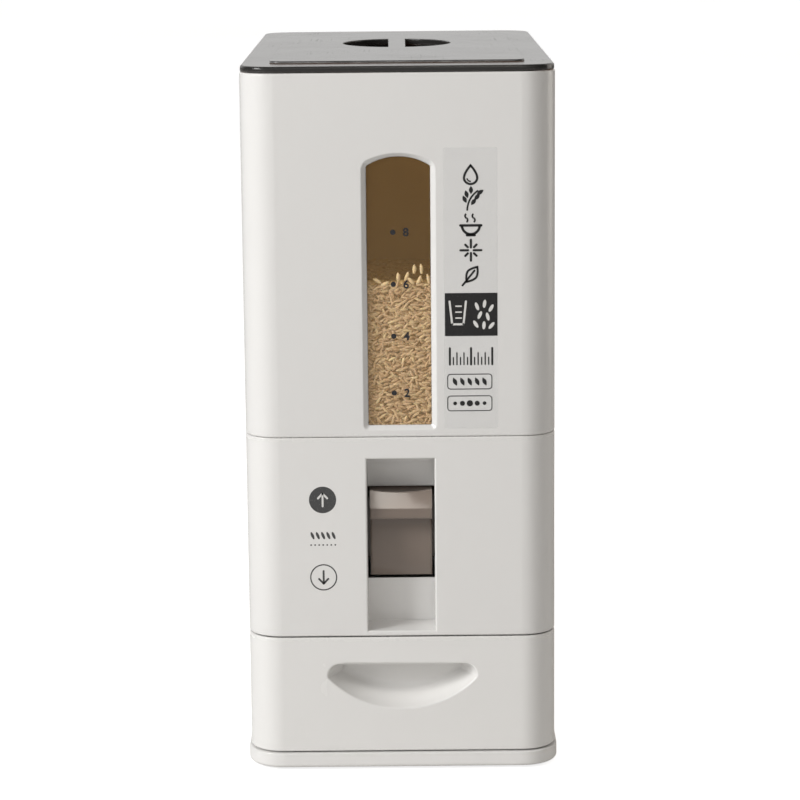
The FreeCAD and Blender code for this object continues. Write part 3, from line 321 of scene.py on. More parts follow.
# The whites rise from hopper to drawer and base: painted light, standing in for the floor lighting the
# lower bands more.
white_hopper = white_finish("white_hopper", (0.785, 0.780, 0.770), 0.24, (HOPPER_SEAM,))
white_housing = white_finish("white_housing", (0.805, 0.799, 0.788), 0.24, (HOUSING_SEAM, HOPPER_SEAM))
white_drawer = white_finish("white_drawer", (0.83, 0.824, 0.811), 0.25, (BASE_SEAM, HOUSING_SEAM))
white_base = white_finish("white_base", (0.83, 0.824, 0.813), 0.30, (BASE_SEAM, FOOT_LINE))
print("white finishes:", white_hopper.name, white_housing.name, white_drawer.name, white_base.name)

# %% [markdown]
# ## Inside plastics
# Pieces that nobody looks at keep the mould's plain matt surface: runners, cheeks, chute and the sloped
# floor of the hopper. The drawer box is handled every day, so it is smoother and has scratches. The gates
# are grey acetal, which slides well.

# %% Inside finishes
white_inside = moulded_plastic("white_inside", (0.74, 0.73, 0.69), 0.52, mottle=0.2, bump=0.25)[0]
white_drawer_box, tree, shader = moulded_plastic("white_drawer_box", (0.77, 0.77, 0.74), 0.42, mottle=0.12)
wear(tree, shader, scratches, {"Density": 0.8}, 0.25)
acetal_grey, tree, shader = moulded_plastic("acetal_grey", (0.40, 0.40, 0.385), 0.38, mottle=0.25)
wear(tree, shader, scratches, {"Density": 1.0}, 0.2)
print("inside finishes:", white_inside.name, white_drawer_box.name, acetal_grey.name)

# %% [markdown]
# ## Lever
# The lever is a taupe satin plastic. Its thumb tab is polished by use, so the smears cut in early, and the
# edges get a painted highlight line.

# %% Lever finish
# The edges are lightened in colour: a painted highlight line.
taupe_satin, tree, shader = moulded_plastic("taupe_satin", (0.205, 0.160, 0.131), 0.30, mottle=0.3,
                                            unevenness=0.10, bump=0.08, edge_radius=0.0011,
                                            edge_highlight_paint=0.42)
wear(tree, shader, smears, {"Scale": 60.0, "Cut": 0.5}, 0.08)
fill(tree, shader, {"Coat Weight": 0.9, "Coat Roughness": 0.12})
print("lever finish:", taupe_satin.name)

# %% [markdown]
# ## Clear plastic that lets lamp light through
# Cycles treats a clear or smoked shell as a wall for the light that a lamp sends straight at what lies
# behind it. The Light Path node cures that: the eye meets the plastic itself, and every other ray passes
# a plain Transparent shader of a like tint. The lid and the window pane both use it.

# %% Light through clear plastic
def let_through(tree, shader, tint):
    """Lets every ray but the eye's pass through the plastic, tinted."""
    through = add_node(tree, "BsdfTransparent", {"Color": tint})
    split_for_eye(tree, through, shader, tree.nodes["Material Output"])


print("light helper ready")

# %% [markdown]
# ## Lid and finger cup
# The lid is dark smoked plastic with a high gloss. Seen at a low angle it mirrors the bright room and
# looks pale, while its rim and the cup in the finger wells stay nearly black. The edges of lid and cup are
# lightened in colour, a painted highlight like the glow at the edges of clear plastic. Wiping has left fine
# scratches and smears.

# %% Lid finishes
# The lid's edges are lightened in colour: a painted highlight.
smoke_gloss, tree, shader = moulded_plastic("smoke_gloss", (0.030, 0.029, 0.028), 0.16, mottle=0.3,
                                            unevenness=0.03, grain_scale=500.0, bump=0.01,
                                            edge_radius=0.0016, edge_highlight_paint=0.55)
wear(tree, shader, smears, {"Scale": 18.0, "Cut": 0.5}, 0.02)
wear(tree, shader, scratches, {"Density": 1.0}, 0.05)
let_through(tree, shader, (0.30, 0.18, 0.085, 1))
# The cup's edges are lightened in colour: a painted highlight.
smoke_dark = moulded_plastic("smoke_dark", (0.012, 0.012, 0.012), 0.24, mottle=0.3, bump=0.05,
                             edge_radius=0.0014, edge_highlight_paint=0.35)[0]
print("lid finishes:", smoke_gloss.name, smoke_dark.name)

# %% [markdown]
# ## Amber window pane
# The pane is clear brown plastic, a little milky. What touches it, as the grains do, is seen sharply,
# and what lies deeper in the bin drowns in brown. Transmission gives the clear part, and the rest of
# the Principled shader the milkiness.

# %% Window pane finish
amber_clear, tree, shader = moulded_plastic("amber_clear", (0.84, 0.50, 0.17), 0.05, mottle=0.12,
                                            unevenness=0.02, grain_scale=300.0, bump=0.002)
fill(tree, shader, {"Transmission Weight": 0.86, "IOR": 1.45})
let_through(tree, shader, (0.98, 0.98, 0.98, 1))
print("pane finish:", amber_clear.name)

# %% [markdown]
# ## Frosted chamber, screws and feet
# The measuring chamber is milky clear plastic. The screws are zinc plated, with turning marks that
# show as uneven roughness. The feet are matt rubber with a pebbled grain.

# %% Small part finishes
milky_clear, tree, shader = moulded_plastic("milky_clear", (0.72, 0.76, 0.76), 0.35, mottle=0.15)
fill(tree, shader, {"Transmission Weight": 0.45})

zinc_steel, tree, shader = moulded_plastic("zinc_steel", (0.56, 0.56, 0.55), 0.32, mottle=0.5,
                                           unevenness=0.3, grain_scale=2600.0, bump=0.1)
fill(tree, shader, {"Metallic": 1.0})

rubber_matt = moulded_plastic("rubber_matt", (0.035, 0.035, 0.034), 0.75, mottle=0.5, unevenness=0.2,
                              grain_scale=900.0, bump=0.6)[0]
print("small finishes:", milky_clear.name, zinc_steel.name, rubber_matt.name)

# %% [markdown]
# ## Dress the designed pieces
# Each designed piece keeps its mesh and only gets a finish. The table says which.

# %% Dress the pieces
FINISHES = {
    white_hopper: ("hopper_shell",),
    white_housing: ("housing_shell", "bay_shell"),
    white_drawer: ("drawer_front",),
    white_base: ("base_tray",),
    white_inside: ("right_runner", "left_runner", "right_cheek", "left_cheek", "drop_chute",
                   "hopper_funnel"),
    white_drawer_box: ("drawer_box",),
    milky_clear: ("metering_chamber",),
    acetal_grey: ("upper_gate", "lower_gate", "right_gate_disc", "left_gate_disc"),
    taupe_satin: ("lever",),
    amber_clear: ("window_pane",),
    smoke_gloss: ("lid_shell",),
    smoke_dark: ("finger_cup",),
    zinc_steel: ("base_screws", "housing_screws", "cheek_screws", "drawer_screws", "friction_washers"),
    rubber_matt: ("rubber_feet",),
}
for finish, names in FINISHES.items():
    for name in names:
        for slot in NODES[name].material_slots:
            slot.material = finish
print("dressed", sum(len(names) for names in FINISHES.values()), "pieces of", len(NODES))


# %% [markdown]
# ## From bmesh to a piece
# New pieces are built in a bmesh, a mesh that is open for editing. This helper closes one off: it merges
# doubles, turns the faces outwards, makes the object at the origin, gives it its finish and says
# which part of the bin it moves with.

# %% Piece helper
def finish_piece(mesh_data, name, material, body, smooth=False, merge=1e-6):
    """Turns a bmesh into a piece that rides on a body of the bin."""
    if merge:
        bmesh.ops.remove_doubles(mesh_data, verts=mesh_data.verts, dist=merge)
        bmesh.ops.recalc_face_normals(mesh_data, faces=mesh_data.faces)
    mesh = bpy.data.meshes.new(name)
    mesh_data.to_mesh(mesh)
    mesh_data.free()
    mesh.materials.append(material)
    mesh.polygons.foreach_set("use_smooth", [smooth] * len(mesh.polygons))
    piece = bpy.data.objects.new(name, mesh)
    bpy.context.scene.collection.objects.link(piece)
    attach(piece, body)
    print("piece %s: %d faces on %s" % (name, len(mesh.polygons), body))


# %% [markdown]
# ## Rice finish
# Husked rice is tan, with a spread from pale straw to warm brown and now and then a green or chalky
# grain. Every grain carries one number of its own in an attribute called tone, and a colour ramp
# turns it into the colour of the whole grain. A noise along the grain adds the darker streaks. The grains
# that were rubbed against the pane are paler and cooler, which the amber in front of them hides.

# %% Rice finish
def rice_finish(name, tones, from_attribute=True):
    """Material of the rice. The heap has no grains of its own, so it takes its tones from cells."""
    material, tree, shader = new_material(name)
    if from_attribute:
        tone = add_node(tree, "Attribute", attribute_name="tone").outputs["Fac"]
        height = noise_at(tree, object_point(tree), 1800.0, 2.0)
        strength, depth, under_skin = 0.25, 0.0003, 0.15
    else:
        point = object_point(tree, (1.0, 0.55, 1.0))
        wobble = add_node(tree, "TexNoise", {"Vector": point, "Scale": 160.0}).outputs["Color"]
        warped = add_node(tree, "VectorMath", {0: wobble, 1: (0.004, 0.004, 0.004), 2: point},
                          operation="MULTIPLY_ADD")
        cells = add_node(tree, "TexVoronoi", {"Vector": warped.outputs[0], "Scale": 330.0})
        tone = add_node(tree, "SeparateColor", {0: cells.outputs["Color"]}).outputs[0]
        height = calc(tree, "SUBTRACT", 1.0, cells.outputs["Distance"])
        strength, depth, under_skin = 0.9, 0.0012, 0.0
    streak = noise_at(tree, object_point(tree), 420.0, 3.0)
    shifted = calc(tree, "ADD", tone, calc(tree, "MULTIPLY", calc(tree, "SUBTRACT", streak, 0.5), 0.35))
    colours = add_node(tree, "ValToRGB", {"Fac": shifted})
    ramp_stops = colours.color_ramp
    ramp_stops.elements[0].color = tones[0][1]
    ramp_stops.elements[1].color = tones[-1][1]
    for place, colour in tones[1:-1]:
        ramp_stops.elements.new(place).color = colour
    bumps = add_node(tree, "Bump", {"Height": height, "Strength": strength, "Distance": depth})
    fill(tree, shader, {
        "Base Color": colours.outputs["Color"], "Roughness": ramp(tree, streak, 0.3, 0.7, 0.38, 0.55),
        "Normal": bumps.outputs[0], "Subsurface Weight": under_skin,
        "Subsurface Radius": (0.0012, 0.0007, 0.0004), "Subsurface Scale": 1.0})
    return material


RICE_TONES = ((0.0, (0.46, 0.33, 0.20, 1)), (0.25, (0.72, 0.58, 0.41, 1)), (0.55, (0.84, 0.73, 0.56, 1)),
              (0.8, (0.86, 0.80, 0.62, 1)), (1.0, (0.93, 0.89, 0.80, 1)))
PALE_TONES = ((0.0, (0.30, 0.225, 0.185, 1)), (0.25, (0.57, 0.485, 0.475, 1)),
              (0.55, (0.71, 0.64, 0.66, 1)), (0.8, (0.76, 0.73, 0.71, 1)), (1.0, (0.95, 0.94, 0.93, 1)))
rice_grain = rice_finish("rice_grain", RICE_TONES)
rice_pale = rice_finish("rice_pale", PALE_TONES)
rice_heap = rice_finish("rice_heap", RICE_TONES, from_attribute=False)
print("rice finishes:", rice_grain.name, rice_pale.name, rice_heap.name)

# %% [markdown]
# ## The heap of rice
# The rice fills the hopper to a level that shows in the window and falls away towards the back. Behind
# the first grains nobody sees single ones, so the heap is one closed body: a grid for its top, extruded
# down and pressed onto the sloped floor. Rice runs out at the front, above the gates, so the top has a
# shallow crater there.

# %% Heap of rice
FUNNEL_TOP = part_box("hopper_funnel")[1][2]
SPOUT_TOP = FUNNEL_TOP - 0.0585         # where the sloped floor ends at the spout
SPOUT_HALF = 0.027
FLOOR_GAP = 0.001                       # keeps the heap off the sloped floor
shell_low, shell_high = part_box("hopper_shell")
WALL = PANE_BACK - PANE_FRONT + 0.0005  # a casing's wall, a little thicker than the pane
GRAIN_DEPTH = 0.0045                    # room for single grains between the pane and the heap
HEAP_X = (shell_high[0] - shell_low[0]) / 2 - WALL - 0.001
HEAP_FRONT = PANE_BACK + GRAIN_DEPTH
HEAP_BACK = shell_high[1] - WALL - 0.001
SPOUT_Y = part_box("metering_chamber")[0][1] / 2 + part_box("metering_chamber")[1][1] / 2
LEVEL, LEVEL_BACK = 0.3210, 0.2990      # top of the rice at the pane and at the back
CORNER = 0.019                          # round of the hopper's inner corners, seen from above
CRATER_DEPTH, CRATER_SPREAD = 0.004, 0.0022
LUMP_HEIGHT, LUMP_PITCH = 0.0022, 38


def rice_level(x, y):
    """Height of the top of the rice."""
    crater = CRATER_DEPTH * math.exp(-(x * x + (y - SPOUT_Y) ** 2) / CRATER_SPREAD)
    lumps = LUMP_HEIGHT * noise.noise(Vector((x * LUMP_PITCH, y * LUMP_PITCH, 0.3)))
    along = (y - HEAP_FRONT) / (HEAP_BACK - HEAP_FRONT)
    return LEVEL + (LEVEL_BACK - LEVEL) * along - crater + lumps


def funnel_height(x, y):
    """Height of the hopper's sloped floor, a little above the real one."""
    edge_front = WINDOW_SILL + 0.002    # the floor starts just above the sill
    along = (y - HEAP_FRONT) / (HEAP_BACK - HEAP_FRONT)
    edge_side = edge_front + (FUNNEL_TOP - edge_front) * along
    slopes = (((y - SPOUT_Y) / (HEAP_BACK - SPOUT_Y), FUNNEL_TOP),
              ((SPOUT_Y - y) / (SPOUT_Y - HEAP_FRONT), edge_front),
              ((abs(x) - SPOUT_HALF) / (HEAP_X - SPOUT_HALF), edge_side))
    return max(SPOUT_TOP + (edge - SPOUT_TOP) * max(part, 0.0) for part, edge in slopes) + FLOOR_GAP


def rounded_plan(x, y):
    """Moves a point of the square plan so that the plan gets rounded corners."""
    middle = (HEAP_FRONT + HEAP_BACK) / 2
    half = (HEAP_BACK - HEAP_FRONT) / 2
    u = (abs(x) - HEAP_X + CORNER) / CORNER
    v = (abs(y - middle) - half + CORNER) / CORNER
    if u <= 0 or v <= 0:
        return x, y
    round_u, round_v = u * math.sqrt(1 - v * v / 2), v * math.sqrt(1 - u * u / 2)
    return (math.copysign(HEAP_X - CORNER + CORNER * round_u, x),
            middle + math.copysign(half - CORNER + CORNER * round_v, y - middle))


heap = bmesh.new()
size_x, size_y = 2 * HEAP_X, HEAP_BACK - HEAP_FRONT
place = Matrix.Translation((0, (HEAP_FRONT + HEAP_BACK) / 2, 0)) @ Matrix.Diagonal((size_x, size_y, 1, 1))
bmesh.ops.create_grid(heap, x_segments=60, y_segments=110, size=0.5, matrix=place)
lower = bmesh.ops.extrude_face_region(heap, geom=heap.faces[:])
lower_verts = {item for item in lower["geom"] if isinstance(item, bmesh.types.BMVert)}
for vert in heap.verts:
    x, y = rounded_plan(vert.co.x, vert.co.y)
    vert.co = (x, y, funnel_height(x, y) if vert in lower_verts else rice_level(x, y))
walls = [edge for edge in heap.edges if (edge.verts[0] in lower_verts) != (edge.verts[1] in lower_verts)]
bmesh.ops.subdivide_edges(heap, edges=walls, cuts=3)
finish_piece(heap, "rice_bulk", rice_heap, "hopper", smooth=True)

# %% [markdown]
# ## Single grains
# A grain of short rice is a stubby ellipsoid with a flattened belly and a small notch where the germ sat.
# One sphere of eight by six faces is scaled to that shape. It is copied by the thousand, so it has to
# stay this light. Copies made in small batches keep the bmesh operators quick.

# %% One grain
GRAIN_HALF_LENGTH = 0.0029
GRAIN_HALF_WIDTH = 0.00108
GRAIN_HALF_DEPTH = 0.00092
grain = bmesh.new()                     # its length runs along Z
bmesh.ops.create_uvsphere(grain, u_segments=8, v_segments=6, radius=1.0)
germ = [vert for vert in grain.verts if vert.co.z > 0.6 and vert.co.x > 0.2]
bmesh.ops.translate(grain, verts=germ, vec=(-0.18, 0, -0.10))
belly = [vert for vert in grain.verts if vert.co.x < -0.5]
bmesh.ops.translate(grain, verts=belly, vec=(0.14, 0, 0))
blunt = [vert for vert in grain.verts if vert.co.z < -0.6]
bmesh.ops.scale(grain, verts=blunt, vec=(1.15, 1.15, 0.96))
bmesh.ops.scale(grain, verts=grain.verts, vec=(GRAIN_HALF_WIDTH, GRAIN_HALF_DEPTH, GRAIN_HALF_LENGTH))
one_grain = bpy.data.meshes.new("one_grain")
grain.to_mesh(one_grain)
grain.free()
print("a grain has %d faces" % len(one_grain.polygons))

# %% Scatter many grains
BATCH_SIZE = 60


def scatter_grains(name, places, seed, material):
    """One piece with a grain at every (matrix, tone) place. Without a tone, a grain gets a random one."""
    chance = random.Random(seed)
    whole = bmesh.new()
    for first in range(0, len(places), BATCH_SIZE):
        batch = bmesh.new()
        for matrix, own_tone in places[first:first + BATCH_SIZE]:
            start = len(batch.verts)
            batch.from_mesh(one_grain)
            tone = batch.verts.layers.float.get("tone") or batch.verts.layers.float.new("tone")
            batch.verts.ensure_lookup_table()
            new = batch.verts[start:]
            size = chance.uniform(0.88, 1.1)
            slim = chance.uniform(0.9, 1.08)
            bmesh.ops.scale(batch, verts=new, vec=(slim, slim, size))
            bmesh.ops.transform(batch, verts=new, matrix=matrix)
            shade = own_tone or min(1.0, max(0.0, chance.gauss(0.5, 0.2)))
            for vert in new:
                vert[tone] = shade
        mesh = bpy.data.meshes.new("batch")
        batch.to_mesh(mesh)
        batch.free()
        whole.from_mesh(mesh)
        bpy.data.meshes.remove(mesh)
    finish_piece(whole, name, material, "hopper", smooth=True, merge=0)


# %% [markdown]
# ## Grains against the pane
# Behind the pane the grains lie flat against it, in four layers, at all angles but more often level
# than upright, because they slid down. A jittered lattice spreads them without gaps. A few plump ones lie
# or stand on the top, leaning on the pane.

# %% Grains in the window
def lay_grain(x, y, z, lean, tilt, roll):
    """Place of a grain: lean turns it in the plane of the pane, from upright, and tilt into the bin."""
    turn = Matrix.Rotation(lean, 4, "Y") @ Matrix.Rotation(tilt, 4, "X") @ Matrix.Rotation(roll, 4, "Z")
    return Matrix.Translation((x, y, z)) @ turn


window_chance = random.Random(7)
window_places = []
GRAIN_STEP = 0.0031                     # from grain to grain in a layer
LAYERS, LAYER_STEP = 4, 0.0009
SIDE_EDGE = WINDOW_HALF + 0.004         # the grains go on a little behind the window's frame
PANE_GAP = 0.0011                       # from the pane to the middle of the nearest grains
for layer in range(LAYERS):
    depth = PANE_BACK + PANE_GAP + layer * LAYER_STEP
    row = 0
    z = WINDOW_SILL - 0.003
    while z < LEVEL + 0.008:
        x = -SIDE_EDGE + (row % 2) * GRAIN_STEP / 2
        while x < SIDE_EDGE:
            px = x + window_chance.uniform(-0.4, 0.4) * GRAIN_STEP
            pz = z + window_chance.uniform(-0.4, 0.4) * GRAIN_STEP
            lean = math.radians(90) + window_chance.gauss(0, math.radians(38))
            tilt = window_chance.gauss(0, math.radians(7 + 5 * layer))
            py = depth + abs(math.sin(tilt)) * GRAIN_HALF_LENGTH * 0.8 + window_chance.uniform(0, 0.0004)
            if pz < rice_level(px, HEAP_FRONT) - 0.0008:
                roll = window_chance.uniform(0, math.tau)
                window_places.append((lay_grain(px, py, pz, lean, tilt, roll), None))
            x += GRAIN_STEP
        z += GRAIN_STEP * 0.9
        row += 1
# x, height and lean in degrees of the plump grains on top
STANDING = ((-0.0005, 0.3249, 2), (0.0050, 0.3253, 22), (0.0098, 0.3299, 5), (0.0143, 0.3300, -3),
            (0.0128, 0.3228, 26), (0.0188, 0.3236, -10), (-0.0137, 0.3226, -60), (-0.0087, 0.3207, 66),
            (0.0076, 0.3224, -42))
PLUMP = Matrix.Diagonal((1.3, 1.0, 1.12, 1))
PLUMP_TONE = 0.97                       # they are the palest ones
for x, z, lean in STANDING:
    standing = lay_grain(x, PANE_BACK + 0.0012, z, math.radians(lean), 0.03, 0.0)
    window_places.append((standing @ PLUMP, PLUMP_TONE))
scatter_grains("rice_window_grains", window_places, 11, rice_pale)
print("grains behind the pane:", len(window_places))

# %% [markdown]
# ## Grains on top of the heap
# With the lid off, the top of the rice shows. Single grains lie on the heap's surface in all
# directions, thickest towards the window, where they can be seen through the pane too.

# %% Grains on top
TOP_GRAINS = 2100
top_chance = random.Random(23)
top_places = []
while len(top_places) < TOP_GRAINS:
    x = top_chance.uniform(-HEAP_X + 0.004, HEAP_X - 0.004)
    y = HEAP_FRONT + (HEAP_BACK - HEAP_FRONT - 0.006) * top_chance.random() ** 1.7 + 0.001
    if abs(x) > 0.03 and y < HEAP_FRONT + 0.01 and top_chance.random() < 0.5:
        continue
    x, y = rounded_plan(x, y)
    z = rice_level(x, y) + GRAIN_HALF_DEPTH * top_chance.uniform(-0.2, 0.7)
    flat = Matrix.Rotation(top_chance.uniform(0, math.tau), 4, "Z")
    lying = Matrix.Rotation(math.radians(90) + top_chance.gauss(0, 0.16), 4, "X")
    roll = Matrix.Rotation(top_chance.uniform(0, math.tau), 4, "Z")
    top_places.append((Matrix.Translation((x, y, z)) @ flat @ lying @ roll, None))
scatter_grains("rice_top_grains", top_places, 29, rice_grain)
print("grains on top:", len(top_places))


# %% [markdown]
# ## Drawing flat prints
# Prints are thin: a few hundredths of a millimetre of ink. Each is drawn flat, in a bmesh whose X is the
# bin's X and whose Y is the bin's height, from discs, bars and arcs. At the end the sheet is extruded by
# the ink's thickness and turned up to stand against the front of the bin.

# %% Print helpers
INK = 0.00006
LIFT = 0.00001                          # ink sunk into the surface, so that no light gets under it


def faces_of(verts):
    """Faces that use these vertices."""
    return list({face for vert in verts for face in vert.link_faces})


def disc(sheet, x, z, half_x, half_z=None, turn=0.0, segments=40):
    """Filled disc or ellipse."""
    place = Matrix.Translation((x, z, 0)) @ Matrix.Rotation(math.radians(turn), 4, "Z")
    place = place @ Matrix.Diagonal((half_x, half_z or half_x, 1, 1))
    made = bmesh.ops.create_circle(sheet, cap_ends=True, segments=segments, radius=1.0, matrix=place)
    return made["verts"]


def block(sheet, x, z, half_x, half_z, corner=0.0, turn=0.0):
    """Filled rectangle, with rounded corners if corner is given."""
    place = Matrix.Translation((x, z, 0)) @ Matrix.Rotation(math.radians(turn), 4, "Z")
    place = place @ Matrix.Diagonal((2 * half_x, 2 * half_z, 1, 1))
    verts = bmesh.ops.create_grid(sheet, x_segments=1, y_segments=1, size=0.5, matrix=place)["verts"]
    if corner:
        made = bmesh.ops.bevel(sheet, geom=verts, offset=corner, affect="VERTICES", segments=6, profile=0.5,
                               material=-1)
        verts = made["verts"]
    return verts


def bar(sheet, x0, z0, x1, z1, width):
    """Straight pen stroke with round ends."""
    length = math.hypot(x1 - x0, z1 - z0) + width
    turn = math.degrees(math.atan2(z1 - z0, x1 - x0))
    return block(sheet, (x0 + x1) / 2, (z0 + z1) / 2, length / 2, width / 2, width * 0.47, turn)


def arc(sheet, x, z, radius, start, end, width, steps=20):
    """Pen stroke along part of a circle, angles in degrees from the right."""
    angle = math.radians(start)
    across = Vector((math.cos(angle), math.sin(angle), 0))
    middle = Vector((x, z, 0))
    ends = [sheet.verts.new(middle + across * (radius + side * width / 2)) for side in (-1, 1)]
    edge = sheet.edges.new(ends)
    bmesh.ops.spin(sheet, geom=[*ends, edge], cent=middle, axis=(0, 0, 1), steps=steps,
                   angle=math.radians(end - start), use_merge=False)
    return ends


def outline(sheet, verts, line):
    """Leaves only a line of that width along the inside of a filled shape."""
    faces = faces_of(verts)
    bmesh.ops.inset_region(sheet, faces=faces, thickness=line, use_even_offset=True, use_boundary=True)
    bmesh.ops.delete(sheet, geom=faces, context="FACES")


def stand_up(sheet, name, surface, material, body, layer=0):
    """Gives a flat print its thickness, stands it on a surface that faces -Y, and makes it a piece."""
    bmesh.ops.remove_doubles(sheet, verts=sheet.verts, dist=1e-7)
    for face in sheet.faces:
        if face.normal.z < 0:
            face.normal_flip()
    top = bmesh.ops.extrude_face_region(sheet, geom=sheet.faces[:])
    raised = [item for item in top["geom"] if isinstance(item, bmesh.types.BMVert)]
    bmesh.ops.translate(sheet, verts=raised, vec=(0, 0, INK))
    height = layer * INK - LIFT
    place = Matrix.Translation((0, surface - height, 0)) @ Matrix.Rotation(math.radians(90), 4, "X")
    bmesh.ops.transform(sheet, verts=sheet.verts, matrix=place)
    finish_piece(sheet, name, material, body)


print("print helpers ready")


# %% [markdown]
# ## Inks
# Screen printed ink is nearly flat, but it isn't perfect: the mesh leaves tiny pinholes and the gloss is
# uneven. The clear label is a thin film that only shows by its sheen and a faint cool tint.

# %% Ink and film finishes
def ink_finish(name, colour, roughness=0.42):
    """Screen printed ink with pinholes."""
    material, tree, shader = moulded_plastic(name, colour, roughness, mottle=0.4, unevenness=0.2,
                                             grain_scale=2500.0, bump=0.15)
    pinhole = ramp(tree, noise_at(tree, object_point(tree), 2600.0, 1.0), 0.70, 0.78, 0.0, 0.5)
    cover_colour(tree, shader, pinhole, (0.55, 0.54, 0.52, 1))
    return material


ink_black = ink_finish("ink_black", (0.011, 0.011, 0.012))
ink_grey = ink_finish("ink_grey", (0.065, 0.066, 0.068))
ink_white = ink_finish("ink_white", (0.80, 0.80, 0.79))
ink_scale = ink_finish("ink_scale", (0.020, 0.020, 0.024))
film_clear, tree, shader = moulded_plastic("film_clear", (0.80, 0.81, 0.82), 0.12, mottle=0.05,
                                           unevenness=0.06, grain_scale=400.0, bump=0.02)
fill(tree, shader, {"Alpha": 0.16})
print("inks:", ink_black.name, ink_grey.name, ink_white.name, ink_scale.name, film_clear.name)

# %% [markdown]
# ## Scale on the window
# Four marks two kilograms apart: a dot and a plain number each. The numbers come from Blender's own font:
# a text object is turned into a mesh first and only then scaled and placed, because the placing of a
# text object is lost when it is converted.

# %% Scale on the window
NUMBER_HEIGHT = 0.0056
SCALE_MARKS = (("8", 0.3539), ("6", 0.3206), ("4", 0.2872), ("2", 0.2505))
SCALE_DOT_X = -0.0036
SCALE_NUMBER_X = 0.0046


def add_number(sheet, text, x, z, height):
    """A number from the built-in font, centred on a point of the sheet."""
    curve = bpy.data.curves.new("number", "FONT")
    curve.body = text
    curve.resolution_u = 6
    curve.offset = 0.028
    holder = bpy.data.objects.new("number", curve)
    mesh = bpy.data.meshes.new_from_object(holder)
    points = [vert.co for vert in mesh.vertices]
    low = Vector(min(point[axis] for point in points) for axis in range(3))
    high = Vector(max(point[axis] for point in points) for axis in range(3))
    scale = height / (high.y - low.y)
    middle = (low + high) / 2
    mesh.transform(Matrix.Translation((x, z, 0)) @ Matrix.Scale(scale, 4) @ Matrix.Translation(-middle))
    sheet.from_mesh(mesh)
    bpy.data.meshes.remove(mesh)
    bpy.data.objects.remove(holder)
    bpy.data.curves.remove(curve)


scale_sheet = bmesh.new()
for text, z in SCALE_MARKS:
    disc(scale_sheet, SCALE_DOT_X, z, 0.0017, segments=24)
    add_number(scale_sheet, text, SCALE_NUMBER_X, z, NUMBER_HEIGHT)
stand_up(scale_sheet, "window_scale", PANE_FRONT, ink_scale, "hopper")

# %% [markdown]
# ## Label film
# To the right of the window lies a tall, clear label. Its rounded sheet is a single block, and all that is
# printed on it lies one ink layer higher.

# %% Label film
LABEL_X = 0.0454
LABEL_HALF = 0.0171
LABEL_LOW, LABEL_HIGH = 0.2275, 0.4075
film_sheet = bmesh.new()
block(film_sheet, LABEL_X, (LABEL_LOW + LABEL_HIGH) / 2, LABEL_HALF, (LABEL_HIGH - LABEL_LOW) / 2, 0.0012)
stand_up(film_sheet, "label_film", FRONT, film_clear, "hopper")

# %% [markdown]
# ## Signs on the label
# Five signs stand one above the other, drawn with a pen about a millimetre and a half wide: a drop of
# water, an ear of rice, a bowl, a star and a leaf. Drop and leaf start as discs, whose vertices are
# drawn in towards a point. All else is strokes, so that the five read as one set.

# %% Pointed shapes
def drop_shape(sheet, x, z, half_x, low, high, turn=0.0):
    """Filled drop or almond, from low under a point to high above it. A reach past half_x is pointed."""
    verts = disc(sheet, x, z, 1.0, segments=48)
    for vert in verts:
        side, rise = vert.co.x - x, vert.co.y - z
        reach = high if rise > 0 else low
        if rise and reach > half_x * 1.05:
            side = math.copysign(half_x * (1 - min(1.0, abs(rise)) ** 1.7), side)
        else:
            side = side * half_x
        vert.co = (x + side, z + rise * reach, 0)
    turned = Matrix.Rotation(math.radians(turn), 3, "Z")
    bmesh.ops.rotate(sheet, verts=verts, cent=(x, z, 0), matrix=turned)
    return verts


print("pointed shapes ready")

# %% Column of signs
PEN = 0.0016
SIGN_X = 0.0457


def sign_drop(sheet, x, z):
    """A drop of water with a glint."""
    outline(sheet, drop_shape(sheet, x, z - 0.0020, 0.0049, 0.0047, 0.0088), PEN * 0.9)
    arc(sheet, x, z - 0.0020, 0.0023, 190, 275, PEN * 0.6)


def sign_ear(sheet, x, z):
    """An ear of rice: a bent stalk with grains on both sides."""
    arc(sheet, x + 0.0128, z - 0.0068, 0.0150, 122, 180, PEN * 0.7)
    grains = ((-0.0038, 0.0004, 26), (-0.0026, 0.0036, 16), (0.0002, 0.0062, 0),
              (0.0018, -0.0012, -36), (0.0040, 0.0018, -44), (0.0060, 0.0048, -56))
    for dx, dz, turn in grains:
        drop_shape(sheet, x + dx, z + dz, 0.0013, 0.0026, 0.0026, turn)


def sign_bowl(sheet, x, z):
    """A bowl on its foot with two wisps of steam."""
    arc(sheet, x, z - 0.0002, 0.0056, 180, 360, PEN)
    bar(sheet, x - 0.0066, z - 0.0002, x + 0.0066, z - 0.0002, PEN)
    bar(sheet, x - 0.0024, z - 0.0064, x + 0.0024, z - 0.0064, PEN)
    for side in (-1, 1):
        arc(sheet, x + side * 0.0023 - 0.0012, z + 0.0032, 0.0015, -60, 60, PEN * 0.7)
        arc(sheet, x + side * 0.0023 + 0.0002, z + 0.0058, 0.0015, 120, 240, PEN * 0.7)


def sign_star(sheet, x, z):
    """A shining star: four long rays and four short ones."""
    for ray in range(8):
        angle = math.radians(45 * ray)
        near, far = (0.0018, 0.0066) if ray % 2 == 0 else (0.0028, 0.0050)
        bar(sheet, x + near * math.cos(angle), z + near * math.sin(angle),
            x + far * math.cos(angle), z + far * math.sin(angle), PEN * 0.9)


def sign_leaf(sheet, x, z):
    """A leaf with its middle rib."""
    outline(sheet, drop_shape(sheet, x + 0.0006, z + 0.0006, 0.0040, 0.0068, 0.0068, -36), PEN * 0.85)
    bar(sheet, x - 0.0054, z - 0.0064, x + 0.0022, z + 0.0030, PEN * 0.8)


